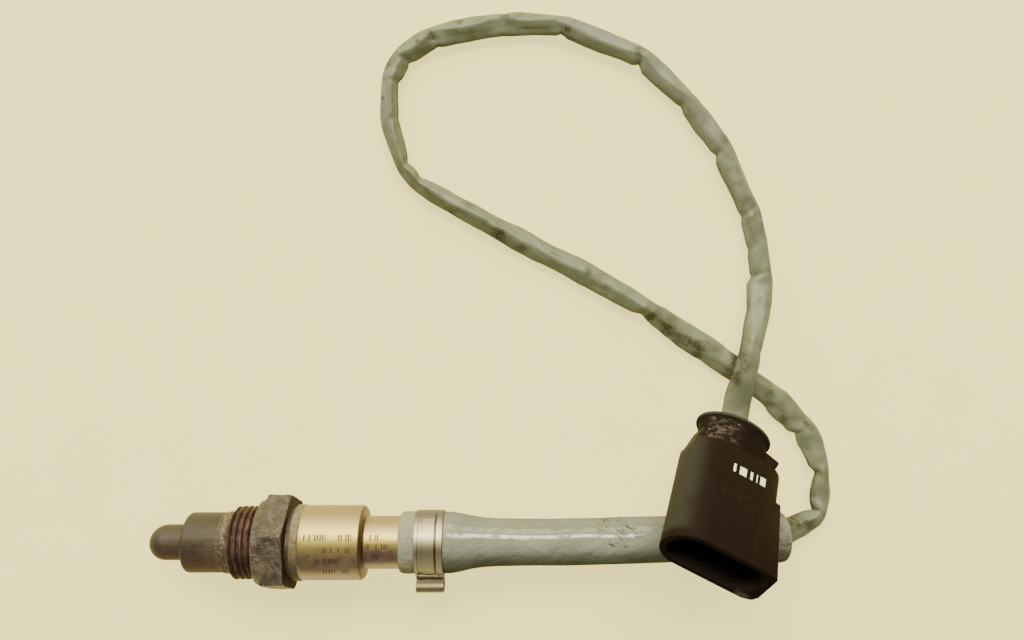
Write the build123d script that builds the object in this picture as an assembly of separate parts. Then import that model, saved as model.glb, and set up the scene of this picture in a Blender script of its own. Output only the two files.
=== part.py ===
from build123d import *
import math
import os

# An exhaust-gas oxygen sensor with its hose, free cord and plug, lying on its side.
# Millimetres. The sensor's axis is X: the seat plane in front of the hexagon is x = 0,
# the protection tubes point to -X, the hose and the cord leave towards +X, and +Z is up.

# ---- Clearances --------------------------------------------------------------------
slide = 0.05             # radial gap of pieces that are pushed together
wire_slip = 0.05         # radial gap of a lead in its hole

# ---- Threaded steel housing --------------------------------------------------------
thread_r = 9.0           # M18 x 1.5, over the crests
thread_len = 7.9
thread_lead = 2.0        # tapered start of the thread
thread_start_r = 7.7
nose_len = 8.6           # seat plane to the end that carries the tubes
nose_r = 7.5
hex_flats = 22.0         # across flats
hex_len = 7.9
hex_turn = 21.5          # degrees from +Z towards +Y of the uppermost corner
hex_chamfer = 0.6        # front corners, over the washer face
hex_rear_chamfer = 0.3
washer_r = 10.3          # washer face at the seat plane
washer_len = 1.7
nose_wall = 2.6          # shoulder in front of the ceramic core
gas_hole_r = 3.4
core_r = 5.2             # ceramic core pieces
front_bush_len = 6.5
talc_len = 3.5
rear_bush_len = 8.5
press_ring_len = 1.0
press_ring_hole_r = 3.0
crimp_len = 0.7          # collar edge folded over the press ring
crimp_r = 4.4

# ---- Sensor element ----------------------------------------------------------------
element_width = 4.0
element_thick = 1.2
element_len = 51.0
element_tip_inset = 6.2  # dome tip to the element's end
slot_play = 0.05

# ---- Protection tubes --------------------------------------------------------------
outer_tube_r = 7.4
outer_tube_len = 9.8
tube_wall = 0.5
outer_tube_edge = 1.0    # rounding of the front edge
dome_r = 4.4
dome_reach = 9.8         # dome tip in front of the outer tube
tube_flange_r = 6.0      # flange of the inner tube on the nose
inlet_count = 8
inlet_r = 0.55
inlet_circle_r = 5.4
outlet_r = 0.75
port_count = 6           # ports of the inner tube, hidden between the tubes
port_r = 0.6
port_from_nose = 3.0

# ---- Protective sleeve -------------------------------------------------------------
sleeve_wall = 0.5
can_r = 9.2
skirt_r = 9.35           # welded edge next to the hexagon
skirt_len = 2.0
skirt_gap = 1.0          # bare collar between hexagon and sleeve
can_len = 17.5           # skirt to shoulder
shoulder_round = 1.2
neck_r = 6.5
neck_len = 23.6
neck_round = 0.5

# ---- Contacts and leads ------------------------------------------------------------
holder_len = 15.0
holder_from_collar = 5.8
holder_play = 0.1
holder_slot_height = 2.5
spring_ring_wall = 0.45
spring_ring_len = 4.0
spring_ring_flange = 0.6
upper_contacts = 3       # on the element's upper face
lower_contacts = 2
contact_pitch = 1.3
contact_width = 0.8
contact_thick = 0.4
contact_gap = 0.02
contact_len = 13.0
contact_leg_r = 0.22
barrel_r = 0.8           # crimped end of a contact
barrel_len = 2.8
barrel_from_holder = 2.2
lead_r = 0.65
lead_circle_r = 2.1
grommet_len = 9.4
grommet_inset = 0.4      # back from the end of the sleeve's neck
first_lead_angle = 90.0

# ---- Hose --------------------------------------------------------------------------
hose_front_x = 35.1
hose_lip = 1.0           # length of the tapered lip
hose_lip_r = 6.6
hose_front_r = 7.65
hose_clamp_r = 7.5       # squeezed under the clamp
hose_taper_end = 13.9    # clamp to the slim part
hose_r = 5.8
hose_bore_r = 4.2
hose_len = 98.5
hose_bend_r = 300.0
hose_straight = 25.9     # front end to the start of the bend
cuff_r = 6.5
cuff_len = 6.0
cuff_taper = 8.0
cuff_round = 1.2
cord_seat = 4.0          # depth of the cord in the hose end

# ---- Ear clamp ---------------------------------------------------------------------
clamp_from_lip = 4.0
clamp_width = 7.0
clamp_thick = 0.5
tongue_slot_depth = 0.25
tongue_slot_width = 0.8
tongue_gap_width = 0.3
tongue_left = 1.1        # band edge to the wide slot
tongue_width = 3.2
ear_reach = 4.6          # beyond the band
ear_neck = 1.9           # outer width where it is pinched
ear_head = 4.4           # outer width of its head
ear_foot = 5.6
ear_wall = 0.5

# ---- Cord --------------------------------------------------------------------------
cord_r = 2.8

# ---- Plug --------------------------------------------------------------------------
plug_x = 120.5           # centre of the rim, where the cord enters
plug_y = 27.0
plug_lift = 1.4          # rim over the floor: the hood leans on the hose
plug_yaw = 24.5          # degrees, mouth turned from -Y towards -X
plug_tilt = 40.5         # degrees, mouth raised
plug_roll = 4.9          # degrees, right end lowered
rim_half_width = 10.1    # oval rim of the rear cap
rim_half_height = 7.2
rim_thick = 0.9
rim_step = 0.85          # rim over the cap's wall
cap_len = 10.0
cap_wall = 1.2
cap_end_wall = 2.0
cap_hole_chamfer = 0.6
plug_cord_seat = 3.0
hood_len = 28.1
hood_thick = 15.0
hood_left = 12.3         # reach of the round ends from the plug's axis
hood_right = 13.4
hood_wall = 1.7
hood_partition = 3.0
seal_well_depth = 4.6
seal_well_half_width = 8.0
seal_well_half_height = 5.6
rail_len = 19.8
rail_foot = 12.9         # lower edge of the rail
rail_knee = (15.0, -6.4)
rail_low = (15.5, -4.2)
rail_high = (13.6, 6.6)
rail_top = 9.0
rail_taper = 3.5         # degrees, slimmer towards its front end
mouth_low = (10.6, -5.2)
mouth_side = (13.1, -1.5)
mouth_high = (12.2, 4.8)
flank_thick = 5.0        # side flanks beside the cap
flank_start = 4.7        # left flank: from the rim, where it begins
flank_start_reach = 9.3
flank_end = 14.4         # and where it meets the round end
hook_thick = 7.0
hook_root = 3.8
hook_tip = (12.1, 4.9)
hook_notch = (10.8, 8.3)
hook_end = (12.6, 10.7)
pin_count_in_row = 3
pin_pitch = 5.0
pin_row_gap = 4.6
pin_width = 1.5
pin_thick = 0.7
pin_reach = 10.5         # beyond the partition
pin_shank_r = 0.9
pin_shank_len = 3.6
pin_play = 0.05
seal_len = 3.6
seal_inset = 0.3
lead_start_gap = 0.9     # from the cord's end, where the leads fan out
lock_width = 13.0
lock_height = 2.2
lock_depth = 1.6

# ---- Derived places ----------------------------------------------------------------
hex_r = hex_flats / 2 / math.cos(math.radians(30))
floor_z = -hex_r * math.cos(math.radians(hex_turn))
nose_x = -nose_len
outer_front_x = nose_x - outer_tube_len
dome_x = outer_front_x - dome_reach + dome_r
core_x = nose_x + nose_wall
talc_x = core_x + front_bush_len
rear_bush_x = talc_x + talc_len
press_ring_x = rear_bush_x + rear_bush_len
crimp_x = press_ring_x + press_ring_len
collar_end_x = crimp_x + crimp_len
collar_r = can_r - sleeve_wall - slide
sleeve_x = hex_len + skirt_gap
shoulder_x = sleeve_x + can_len
neck_end_x = shoulder_x + neck_len
neck_bore_r = neck_r - sleeve_wall
holder_x = collar_end_x + holder_from_collar
holder_end_x = holder_x + holder_len
holder_r = neck_bore_r - holder_play
barrel_x = holder_end_x + barrel_from_holder
lead_x = barrel_x + barrel_len
element_x = dome_x - dome_r + element_tip_inset
hose_end_reach = hose_front_x + hose_len
bend_x = hose_front_x + hose_straight
clamp_x = hose_front_x + clamp_from_lip
clamp_end_x = clamp_x + clamp_width
clamp_r = hose_clamp_r + clamp_thick
hood_end = cap_len + hood_len
cap_half_width = rim_half_width - rim_step
cap_half_height = rim_half_height - rim_step
partition_w = cap_len + seal_well_depth
mouth_w = partition_w + hood_partition


def hose_slope():
    """Angle by which the hose has turned down when its cuff rests on the floor."""
    run = hose_end_reach - bend_x
    drop = -floor_z - cuff_r
    span = 2 * hose_bend_r - drop
    half = (run - math.sqrt(run**2 - span * drop)) / span
    return 2 * math.atan(half)


slope = hose_slope()
bend_end = (bend_x + hose_bend_r * math.sin(slope), -hose_bend_r * (1 - math.cos(slope)))
hose_dir = Vector(math.cos(slope), 0, -math.sin(slope))
hose_end = Vector(hose_end_reach, 0, floor_z + cuff_r)
cord_z = floor_z + cord_r

# The cord's route over the floor: x, y and height above its resting height.
cord_points = [
    (143.2, 5.0, 0.7),
    (145.2, 12.9, 0.0),
    (143.8, 20.9, 0.0),
    (138.7, 30.2, 0.0),
    (129.1, 38.4, 0.0),
    (112.6, 50.2, 0.0),
    (92.2, 63.1, 0.0),
    (69.0, 75.4, 0.0),
    (49.2, 85.6, 0.0),
    (36.0, 93.4, 0.0),
    (30.4, 106.2, 0.0),
    (29.7, 120.4, 0.0),
    (37.6, 129.1, 0.0),
    (51.0, 134.0, 0.0),
    (66.4, 135.1, 0.0),
    (81.0, 133.2, 0.0),
    (96.4, 126.9, 0.0),
    (109.0, 114.9, 0.0),
    (118.8, 101.6, 0.0),
    (125.8, 86.0, 0.0),
    (129.0, 71.6, 0.2),
    (127.4, 59.6, 4.2),
    (125.4, 52.2, 8.0),
    (123.2, 46.4, 9.8),
    (122.2, 40.8, 8.2),
    (122.2, 36.6, 4.4),
    (121.9, 31.9, 2.3),
]


# ---- Small helpers -----------------------------------------------------------------
def outline(*corners):
    """A flat face from (x, y, rounding) corners."""
    face = make_face(Polyline(*[(x, y) for x, y, _ in corners], close=True))
    for x, y, rounding in corners:
        if rounding:
            face = fillet(face.vertices().sort_by_distance((x, y))[0], rounding)
    return face


def turned(*corners):
    """A solid of revolution about X from (x, radius, rounding) corners."""
    return revolve(outline(*corners), Axis.X)


def rod(start_x, end_x, radius, y=0.0, z=0.0):
    """A round bar along X."""
    middle = (start_x + end_x) / 2
    return Pos(middle, y, z) * Rot(0, 90, 0) * Cylinder(radius, end_x - start_x)


def block(start, end):
    """A box between two opposite corners."""
    low = [min(a, b) for a, b in zip(start, end)]
    size = [abs(a - b) for a, b in zip(start, end)]
    return Pos(*[a + s / 2 for a, s in zip(low, size)]) * Box(*size)


def ring_of(shape, count):
    """Copies of a shape evenly spaced about X."""
    return [Rot(360 / count * i, 0, 0) * shape for i in range(count)]


def lead_spots(radius):
    """Where the five leads run, as y and z about the axis."""
    count = upper_contacts + lower_contacts
    angles = [math.radians(first_lead_angle + 360 / count * i) for i in range(count)]
    return [(radius * math.cos(a), radius * math.sin(a)) for a in angles]


def hose_line(start_x, stop_back):
    """The hose's centre line: straight, one long arc, straight down to the floor."""
    end = hose_end - hose_dir * stop_back
    lines = Line((start_x, 0), (bend_x, 0))
    lines += ThreePointArc(
        (bend_x, 0),
        (bend_x + hose_bend_r * math.sin(slope / 2), -hose_bend_r * (1 - math.cos(slope / 2))),
        bend_end,
    )
    lines += Line(bend_end, (end.X, end.Z))
    return Plane.XZ * lines


def at_hose_end(shape):
    """Places a shape, made along X with the hose's end at x = 0, on the hose's end."""
    return Plane(origin=hose_end, x_dir=hose_dir, z_dir=Vector(0, -1, 0)) * shape


# ---- Steel housing and ceramic core ------------------------------------------------
def sensor_housing():
    """Nose, M18 thread, washer face, hexagon and rear collar, turned from one bar."""
    shank = turned(
        (nose_x, 0, 0),
        (nose_x, nose_r, 0.3),
        (-thread_len, nose_r, 0),
        (-thread_len, thread_start_r, 0),
        (-thread_len + thread_lead, thread_r, 0),
        (hex_len / 2, thread_r, 0),
        (hex_len / 2, collar_r, 0),
        (collar_end_x, collar_r, 0.3),
        (collar_end_x, 0, 0),
    )
    turn = 90 - hex_turn
    hexagon = extrude(Plane.YZ * RegularPolygon(hex_r, 6, rotation=turn), hex_len)
    over = hex_r + 0.05
    hexagon &= turned(
        (0, 0, 0),
        (0, washer_r, 0),
        (washer_len, hex_flats / 2, 0),
        (washer_len + hex_chamfer, over, 0),
        (hex_len - hex_rear_chamfer, over, 0),
        (hex_len, over - hex_rear_chamfer * 2, 0),
        (hex_len, 0, 0),
    )
    bore_r = core_r + slide
    bore = turned(
        (nose_x - 1, 0, 0),
        (nose_x - 1, gas_hole_r, 0),
        (core_x, gas_hole_r, 0),
        (core_x, bore_r, 0),
        (crimp_x, bore_r, 0),
        (crimp_x, crimp_r, 0),
        (collar_end_x + 1, crimp_r, 0),
        (collar_end_x + 1, 0, 0),
    )
    return shank + hexagon - bore


def slotted(start_x, end_x, radius):
    """A round core piece with the flat slot that the element passes through."""
    half_width = element_width / 2 + slot_play
    half_height = element_thick / 2 + slot_play
    slot = block((start_x - 1, -half_width, -half_height), (end_x + 1, half_width, half_height))
    return rod(start_x, end_x, radius) - slot


def front_ceramic_bush():
    return slotted(core_x, talc_x, core_r)


def talc_seal():
    return slotted(talc_x, rear_bush_x, core_r)


def rear_ceramic_bush():
    return slotted(rear_bush_x, press_ring_x, core_r)


def press_ring():
    """Steel ring under the folded edge of the collar, which keeps the core pressed."""
    return rod(press_ring_x, crimp_x, core_r) - rod(press_ring_x - 1, crimp_x + 1, press_ring_hole_r)


def sensor_element():
    """Flat ceramic strip: its tip hangs in the gas, its other end is in the contacts."""
    half_width = element_width / 2
    half_height = element_thick / 2
    start = (element_x, -half_width, -half_height)
    return block(start, (element_x + element_len, half_width, half_height))


# ---- Protection tubes --------------------------------------------------------------
def outer_protection_tube():
    """Drawn steel cup: its rear edge is turned in on the nose, its front is pierced."""
    hole_r = dome_r + slide
    inside_x = outer_front_x + tube_wall
    lip_x = nose_x - tube_wall
    lip_r = tube_flange_r + slide
    cup = turned(
        (outer_front_x, hole_r, 0),
        (outer_front_x, outer_tube_r, outer_tube_edge),
        (nose_x, outer_tube_r, 0),
        (nose_x, lip_r, 0),
        (lip_x, lip_r, 0),
        (lip_x, outer_tube_r - tube_wall, 0),
        (inside_x, outer_tube_r - tube_wall, outer_tube_edge - tube_wall),
        (inside_x, hole_r, 0),
    )
    inlet = rod(outer_front_x - 1, inside_x + 1, inlet_r, inlet_circle_r)
    return cup - ring_of(inlet, inlet_count)


def inner_protection_tube():
    """Domed tube with a flange on the nose, one outlet at the tip and hidden ports."""
    inside_r = dome_r - tube_wall
    tube = rod(dome_x, nose_x, dome_r) + Pos(dome_x, 0, 0) * Sphere(dome_r)
    tube += rod(nose_x - tube_wall, nose_x, tube_flange_r)
    tube -= rod(dome_x, nose_x + 1, inside_r) + Pos(dome_x, 0, 0) * Sphere(inside_r)
    tube -= rod(dome_x - 2 * dome_r, dome_x, outlet_r)
    port = Pos(nose_x - port_from_nose, 0, dome_r) * Cylinder(port_r, 2 * tube_wall + 1)
    return tube - ring_of(port, port_count)


# ---- Sleeve, contacts and grommet --------------------------------------------------
def protective_sleeve():
    """Drawn steel can with a slim neck; its skirt is welded round the rear collar."""
    can_bore_r = can_r - sleeve_wall
    step_x = shoulder_x - sleeve_wall
    skirt_end_x = sleeve_x + skirt_len
    return turned(
        (sleeve_x, can_bore_r, 0),
        (sleeve_x, skirt_r, 0.3),
        (skirt_end_x, skirt_r, 0.1),
        (skirt_end_x + 0.2, can_r, 0),
        (shoulder_x, can_r, shoulder_round),
        (shoulder_x, neck_r, neck_round),
        (neck_end_x, neck_r, 0),
        (neck_end_x, neck_bore_r, 0),
        (step_x, neck_bore_r, 0),
        (step_x, can_bore_r, shoulder_round - sleeve_wall),
    )


def contact_holder():
    """Ceramic body, split in two halves, that presses the contacts on the element."""
    body = rod(holder_x, holder_end_x, holder_r)
    half_width = element_width / 2 + slot_play
    half_height = holder_slot_height / 2
    start = (holder_x - 1, -half_width, -half_height)
    body -= block(start, (holder_end_x + 1, half_width, half_height))
    start = (holder_x - 1, -holder_r, -slot_play)
    return body - block(start, (holder_end_x + 1, holder_r, slot_play))


def contact_spring_ring():
    """Sprung steel ring that clasps the holder and centres it in the can."""
    inside_r = holder_r + slide
    flange_r = can_r - sleeve_wall - slide
    start_x = holder_x + spring_ring_flange
    return turned(
        (start_x, inside_r, 0),
        (start_x, flange_r, 0),
        (start_x + spring_ring_flange, flange_r, 0),
        (start_x + spring_ring_flange, inside_r + spring_ring_wall, 0),
        (start_x + spring_ring_len, inside_r + spring_ring_wall, 0),
        (start_x + spring_ring_len, inside_r, 0),
    )


def contact_terminals():
    """Flat springs on both faces of the element, each with a crimped barrel."""
    spots = lead_spots(lead_circle_r)
    upper = sorted(spots, key=lambda spot: -spot[1])[:upper_contacts]
    lower = sorted(spots, key=lambda spot: -spot[1])[upper_contacts:]
    start_x = holder_end_x - contact_len + 1.0
    end_x = holder_end_x + 1.0
    contacts = []
    for row, side in ((sorted(upper), 1), (sorted(lower), -1)):
        for i, (y, z) in enumerate(row):
            pad_y = (i - (len(row) - 1) / 2) * contact_pitch
            near = side * (element_thick / 2 + contact_gap)
            far = near + side * contact_thick
            strip = block(
                (start_x, pad_y - contact_width / 2, near),
                (end_x, pad_y + contact_width / 2, far),
            )
            foot = Vector(end_x - contact_leg_r, pad_y, (near + far) / 2)
            head = Vector(barrel_x + contact_leg_r, y, z)
            leg_plane = Plane(origin=foot, z_dir=head - foot)
            leg = extrude(leg_plane * Circle(contact_leg_r), (head - foot).length)
            contacts.append(strip + leg + rod(barrel_x, lead_x, barrel_r, y, z))
    return Compound(children=contacts)


def cable_grommet():
    """Rubber stopper in the neck of the sleeve, with one hole for each lead."""
    end_x = neck_end_x - grommet_inset
    stopper = rod(end_x - grommet_len, end_x, neck_bore_r - slide)
    for y, z in lead_spots(lead_circle_r):
        stopper -= rod(end_x - grommet_len - 1, end_x + 1, lead_r + wire_slip, y, z)
    return stopper


def lead_wires():
    """Five insulated leads, from the contacts through the hose to the cord's end."""
    line = hose_line(lead_x, cord_seat)
    wires = []
    for y, z in lead_spots(lead_circle_r):
        section = Plane(origin=(lead_x, y, z), x_dir=(0, 1, 0), z_dir=(1, 0, 0)) * Circle(lead_r)
        wires.append(sweep(section, path=line))
    return Compound(children=wires)


# ---- Hose and clamp ----------------------------------------------------------------
def hose_solid():
    """The hose's outer shape: lip, clamped front, taper, long bend and end cuff."""
    front = Polyline(
        (hose_front_x, 0),
        (hose_front_x, hose_lip_r),
        (hose_front_x + hose_lip, hose_front_r),
        (clamp_x, hose_front_r),
        (clamp_x, hose_clamp_r),
        (clamp_end_x, hose_clamp_r),
        (clamp_end_x, hose_front_r),
    )
    taper_end_x = clamp_end_x + hose_taper_end
    middle_x = (clamp_end_x + taper_end_x) / 2
    taper = Spline(
        (clamp_end_x, hose_front_r),
        (middle_x, (hose_front_r + 2 * hose_r) / 3 + 0.1),
        (taper_end_x, hose_r),
        tangents=[(1, -0.03), (1, 0)],
    )
    back = Polyline((taper_end_x, hose_r), (taper_end_x, 0), (hose_front_x, 0))
    solid = revolve(make_face(front + taper + back), Axis.X)
    cuff_start = cuff_len + cuff_taper
    line = hose_line(taper_end_x, cuff_start - 1)
    solid += sweep(Plane.YZ.offset(taper_end_x) * Circle(hose_r), path=line)
    cuff = turned(
        (-cuff_start, 0, 0),
        (-cuff_start, hose_r, 0),
        (-cuff_len, cuff_r, 0),
        (0, cuff_r, cuff_round),
        (0, 0, 0),
    )
    return solid + at_hose_end(cuff)


def hose_bore():
    """The hollow of the hose: round the sleeve's neck, the leads and the cord's end."""
    neck_room = neck_r + slide
    bore = turned(
        (hose_front_x - 1, 0, 0),
        (hose_front_x - 1, neck_room, 0),
        (neck_end_x + slide, neck_room, 0),
        (bend_x - 1, hose_bore_r, 0),
        (bend_x - 1, 0, 0),
    )
    line = hose_line(bend_x - 1, 2 * cord_seat)
    bore += sweep(Plane.YZ.offset(bend_x - 1) * Circle(hose_bore_r), path=line)
    bore += at_hose_end(rod(-2 * cord_seat - 1, -cord_seat, hose_bore_r))
    return bore + at_hose_end(rod(-cord_seat - 1, 1, cord_r + slide))


def protective_hose():
    return hose_solid() - hose_bore()


def hose_clamp():
    """Stepless ear clamp: a band with the tongue of its inner end showing in a slot,
    and one pinched ear towards -Y."""
    band = rod(clamp_x, clamp_end_x, clamp_r) - rod(clamp_x - 1, clamp_end_x + 1, hose_clamp_r)
    slots = [
        (clamp_x + tongue_left, tongue_slot_width),
        (clamp_x + tongue_left + tongue_slot_width + tongue_width, tongue_gap_width),
    ]
    floor_r = clamp_r - tongue_slot_depth
    for start_x, width in slots:
        trench = outline(
            (start_x, floor_r, 0),
            (start_x, clamp_r + 1, 0),
            (start_x + width, clamp_r + 1, 0),
            (start_x + width, floor_r, 0),
        )
        band -= Rot(32, 0, 0) * revolve(trench, Axis.X, 118)
    foot = clamp_r - clamp_thick / 2
    corners = [
        (foot, ear_foot / 2, 0),
        (foot + 0.3 * ear_reach, ear_neck / 2, 0.6),
        (foot + 0.55 * ear_reach, ear_head / 2, 0.8),
        (foot + 0.85 * ear_reach, ear_head / 2, 0.8),
        (clamp_r + ear_reach, ear_head / 5, 0.6),
    ]
    mirrored = [(y, -z, rounding) for y, z, rounding in reversed(corners)]
    ear = outline(*corners, *mirrored)
    hollow = offset(ear, -ear_wall, kind=Kind.INTERSECTION)
    ear_solid = extrude(Plane(origin=(clamp_x, 0, 0), x_dir=(0, -1, 0), z_dir=(1, 0, 0)) * ear, clamp_width)
    room = extrude(Plane(origin=(clamp_x, 0, 0), x_dir=(0, -1, 0), z_dir=(1, 0, 0)) * hollow, clamp_width)
    inside = rod(clamp_x - 1, clamp_end_x + 1, foot)
    return band + (ear_solid - room - inside)


# ---- Plug --------------------------------------------------------------------------
def plug_plane():
    """The plug's frame: x along the mouth's width, y out of its upper face, z from the
    rim to the mouth. The hood leans on the hose, so the rim is a little off the floor."""
    yaw, tilt, roll = (math.radians(a) for a in (plug_yaw, plug_tilt, plug_roll))
    out = Vector(-math.sin(yaw) * math.cos(tilt), -math.cos(yaw) * math.cos(tilt), math.sin(tilt))
    level = Vector(math.cos(yaw), -math.sin(yaw), 0)
    across = level * math.cos(roll) - out.cross(level) * math.sin(roll)
    up = out.cross(across)
    lift = math.hypot(rim_half_width * across.Z, rim_half_height * up.Z)
    return Plane(origin=(plug_x, plug_y, floor_z + plug_lift + lift), x_dir=across, z_dir=out)


plug_frame = plug_plane()


def upright(start, end, radius, x=0.0, y=0.0):
    """A round bar along the plug's axis."""
    return Pos(x, y, (start + end) / 2) * Cylinder(radius, end - start)


def plug_lead_spots():
    """Where the five leads reach the pins; the sixth pin carries the trim resistor."""
    return pin_spots()[: upper_contacts + lower_contacts]


def pin_spots():
    """Places of the pins in the hood: two rows."""
    middle = (pin_count_in_row - 1) / 2
    spots = []
    for side in (1, -1):
        for i in range(pin_count_in_row):
            spots.append(((i - middle) * pin_pitch, side * pin_row_gap / 2))
    return spots


def oval(start, end, half_width, half_height):
    """An oval bar along the plug's axis."""
    return extrude(Pos(0, 0, start) * Ellipse(half_width, half_height), end - start)


def hood_section():
    """The hood's outline: flat faces between two round ends."""
    round_r = hood_thick / 2
    middle = (hood_right - hood_left) / 2
    return Pos(middle, 0) * SlotOverall(hood_left + hood_right, 2 * round_r)


def mouth_section():
    """The mouth's outline: round on the left, cornered beside the rail."""
    half_height = hood_thick / 2 - hood_wall
    left = hood_wall - hood_left
    return outline(
        (left, -half_height, half_height - 0.05),
        (mouth_low[0], -half_height, 1.0),
        (*mouth_side, 1.5),
        (*mouth_high, 1.0),
        (rail_top, half_height, 1.5),
        (left, half_height, half_height - 0.05),
    )


def rail_section():
    """Guide rail: a block on the hood's right end, slanting inwards to the top."""
    half_height = hood_thick / 2
    return outline(
        (0, -half_height, 0),
        (rail_foot, -half_height, 0),
        (*rail_knee, 1.0),
        (*rail_low, 0.8),
        (*rail_high, 0.8),
        (rail_top, half_height, 0),
        (0, half_height, 0),
    )


def hood_flanks():
    """Side walls beside the rear cap: a tapered flank on the left, a hook on the right."""
    low = min(flank_start, hook_root)
    body = extrude(Pos(0, 0, low) * hood_section(), hood_end - low)
    taper = Plane.XZ * outline(
        (-flank_start_reach, flank_start, 0),
        (-hood_left - 0.1, flank_end, 0),
        (-hood_left - 0.1, hood_end + 1, 0),
        (hood_right + 1, hood_end + 1, 0),
        (hood_right + 1, cap_len, 0),
        (0, cap_len, 0),
        (0, flank_start, 0),
    )
    hook = Plane.XZ * outline(
        (0, hook_root, 0),
        (hook_tip[0] - 3.7, hook_root, 0),
        (*hook_tip, 0.4),
        (*hook_notch, 0.3),
        (*hook_end, 0),
        (hook_end[0] - 1, hook_end[1] + 2, 0),
        (0, hook_end[1] + 2, 0),
    )
    body &= Pos(0, hood_thick, 0) * extrude(taper, 2 * hood_thick)
    for side in (1, -1):
        step = Box(4 * hood_thick, hood_thick, cap_len)
        body -= Pos(0, side * (flank_thick + hood_thick) / 2, cap_len / 2) * step
    return body + Pos(0, hook_thick / 2, 0) * extrude(hook, hook_thick)


def plug_housing():
    """Open hood round the pins, with a guide rail and side walls beside the rear cap."""
    mouth = Plane(origin=(0, 0, hood_end), x_dir=(1, 0, 0), z_dir=(0, 0, 1))
    rail = extrude(mouth * rail_section(), -rail_len, taper=rail_taper)
    hood = hood_flanks() + rail
    cap_room = (cap_half_width + slide, cap_half_height + slide)
    hood -= oval(-1, cap_len, *cap_room)
    hood -= oval(cap_len - 1, partition_w, seal_well_half_width, seal_well_half_height)
    hood -= extrude(Pos(0, 0, mouth_w) * mouth_section(), hood_end)
    for x, y in pin_spots():
        hole = Box(pin_width + 2 * pin_play, pin_thick + 2 * pin_play, 2 * hood_partition)
        hood -= Pos(x, y, partition_w + hood_partition / 2) * hole
    pocket = Box(lock_width + 2 * slide, lock_height + 2 * slide, lock_depth)
    hood -= Pos(0, 0, mouth_w - lock_depth / 2) * pocket
    return plug_frame * hood


def plug_rear_cap():
    """Oval cup with a thin rim that closes the plug behind the hood."""
    cup = oval(0, rim_thick, rim_half_width, rim_half_height)
    cup += oval(0, cap_len, cap_half_width, cap_half_height)
    cup -= oval(cap_end_wall, cap_len + 1, cap_half_width - cap_wall, cap_half_height - cap_wall)
    hole_r = cord_r + slide
    cup -= upright(-1, cap_end_wall + 1, hole_r)
    flare = Cone(hole_r + cap_hole_chamfer, hole_r, cap_hole_chamfer)
    return plug_frame * (cup - Pos(0, 0, cap_hole_chamfer / 2) * flare)


def plug_wire_seal():
    """Rubber disc in the cap, with one hole for each lead."""
    end = cap_len - seal_inset
    inset = cap_wall + slide
    disc = oval(end - seal_len, end, cap_half_width - inset, cap_half_height - inset)
    for x, y in plug_lead_spots():
        disc -= upright(end - seal_len - 1, end + 1, lead_r + wire_slip, x, y)
    return plug_frame * disc


def plug_leads():
    """The leads' ends, fanned out from the cord to the pins."""
    seal_start = cap_len - seal_inset - seal_len
    leads = []
    for (x, y), (near_x, near_y) in zip(plug_lead_spots(), lead_spots(lead_circle_r)):
        path = Polyline(
            (near_x, near_y, plug_cord_seat + lead_start_gap),
            (x, y, seal_start - 0.6),
            (x, y, partition_w - pin_shank_len),
        )
        fan = Plane(origin=path @ 0, z_dir=path % 0) * Circle(lead_r)
        leads.append(sweep(fan, path=path, transition=Transition.ROUND))
    return plug_frame * Compound(children=leads)


def plug_pins():
    """Six tinned blades with round crimped shanks."""
    pins = []
    for x, y in pin_spots():
        blade = Box(pin_width, pin_thick, hood_partition + pin_reach)
        blade = Pos(x, y, partition_w + (hood_partition + pin_reach) / 2) * blade
        tip = blade.faces().sort_by(Axis.Z)[-1]
        blade = chamfer(tip.edges(), pin_thick / 3)
        pins.append(blade + upright(partition_w - pin_shank_len, partition_w, pin_shank_r, x, y))
    return plug_frame * Compound(children=pins)


def plug_terminal_lock():
    """Comb between the rows of pins that keeps them in place."""
    bar = Box(lock_width, lock_height, lock_depth)
    return plug_frame * (Pos(0, 0, mouth_w - lock_depth / 2) * bar)


# ---- Cord --------------------------------------------------------------------------
def cord_route():
    """All points of the cord: out of the hose, over the floor and into the plug."""
    start = hose_end - hose_dir * cord_seat
    first = hose_end + hose_dir * cord_seat
    end = plug_frame.origin + plug_frame.z_dir * plug_cord_seat
    last = plug_frame.origin - plug_frame.z_dir * plug_cord_seat / 2
    middle = [Vector(x, y, cord_z + lift) for x, y, lift in cord_points]
    return [start, first, *middle, last, end]


def bend_radii(points):
    """The largest arc that each corner's two runs leave room for."""
    radii = []
    for before, corner, after in zip(points, points[1:], points[2:]):
        turn = math.radians((corner - before).get_angle(after - corner))
        shorter = min((corner - before).length, (after - corner).length)
        radii.append(0.45 * shorter / math.tan(turn / 2))
    return radii


def cord():
    """The cord as a plain tube: straight runs joined by tangent arcs."""
    points = cord_route()
    radii = bend_radii(points)
    line = FilletPolyline(*points, radius=radii)
    tube = sweep(Plane(origin=line @ 0, z_dir=line % 0) * Circle(cord_r), path=line)
    print("cord length", round(line.length, 1), "radii", [round(r, 1) for r in radii])
    print("cord volume ratio", round(tube.volume / (math.pi * cord_r**2 * line.length), 4))
    return tube


# ---- All pieces --------------------------------------------------------------------
pieces = [
    sensor_housing,
    front_ceramic_bush,
    talc_seal,
    rear_ceramic_bush,
    press_ring,
    sensor_element,
    outer_protection_tube,
    inner_protection_tube,
    protective_sleeve,
    contact_holder,
    contact_spring_ring,
    contact_terminals,
    cable_grommet,
    lead_wires,
    protective_hose,
    hose_clamp,
    cord,
    plug_rear_cap,
    plug_housing,
    plug_wire_seal,
    plug_leads,
    plug_pins,
    plug_terminal_lock,
]

os.makedirs("parts", exist_ok=True)
for piece in pieces:
    export_step(piece(), f"parts/{piece.__name__}.step")
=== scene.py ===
import math

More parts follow.
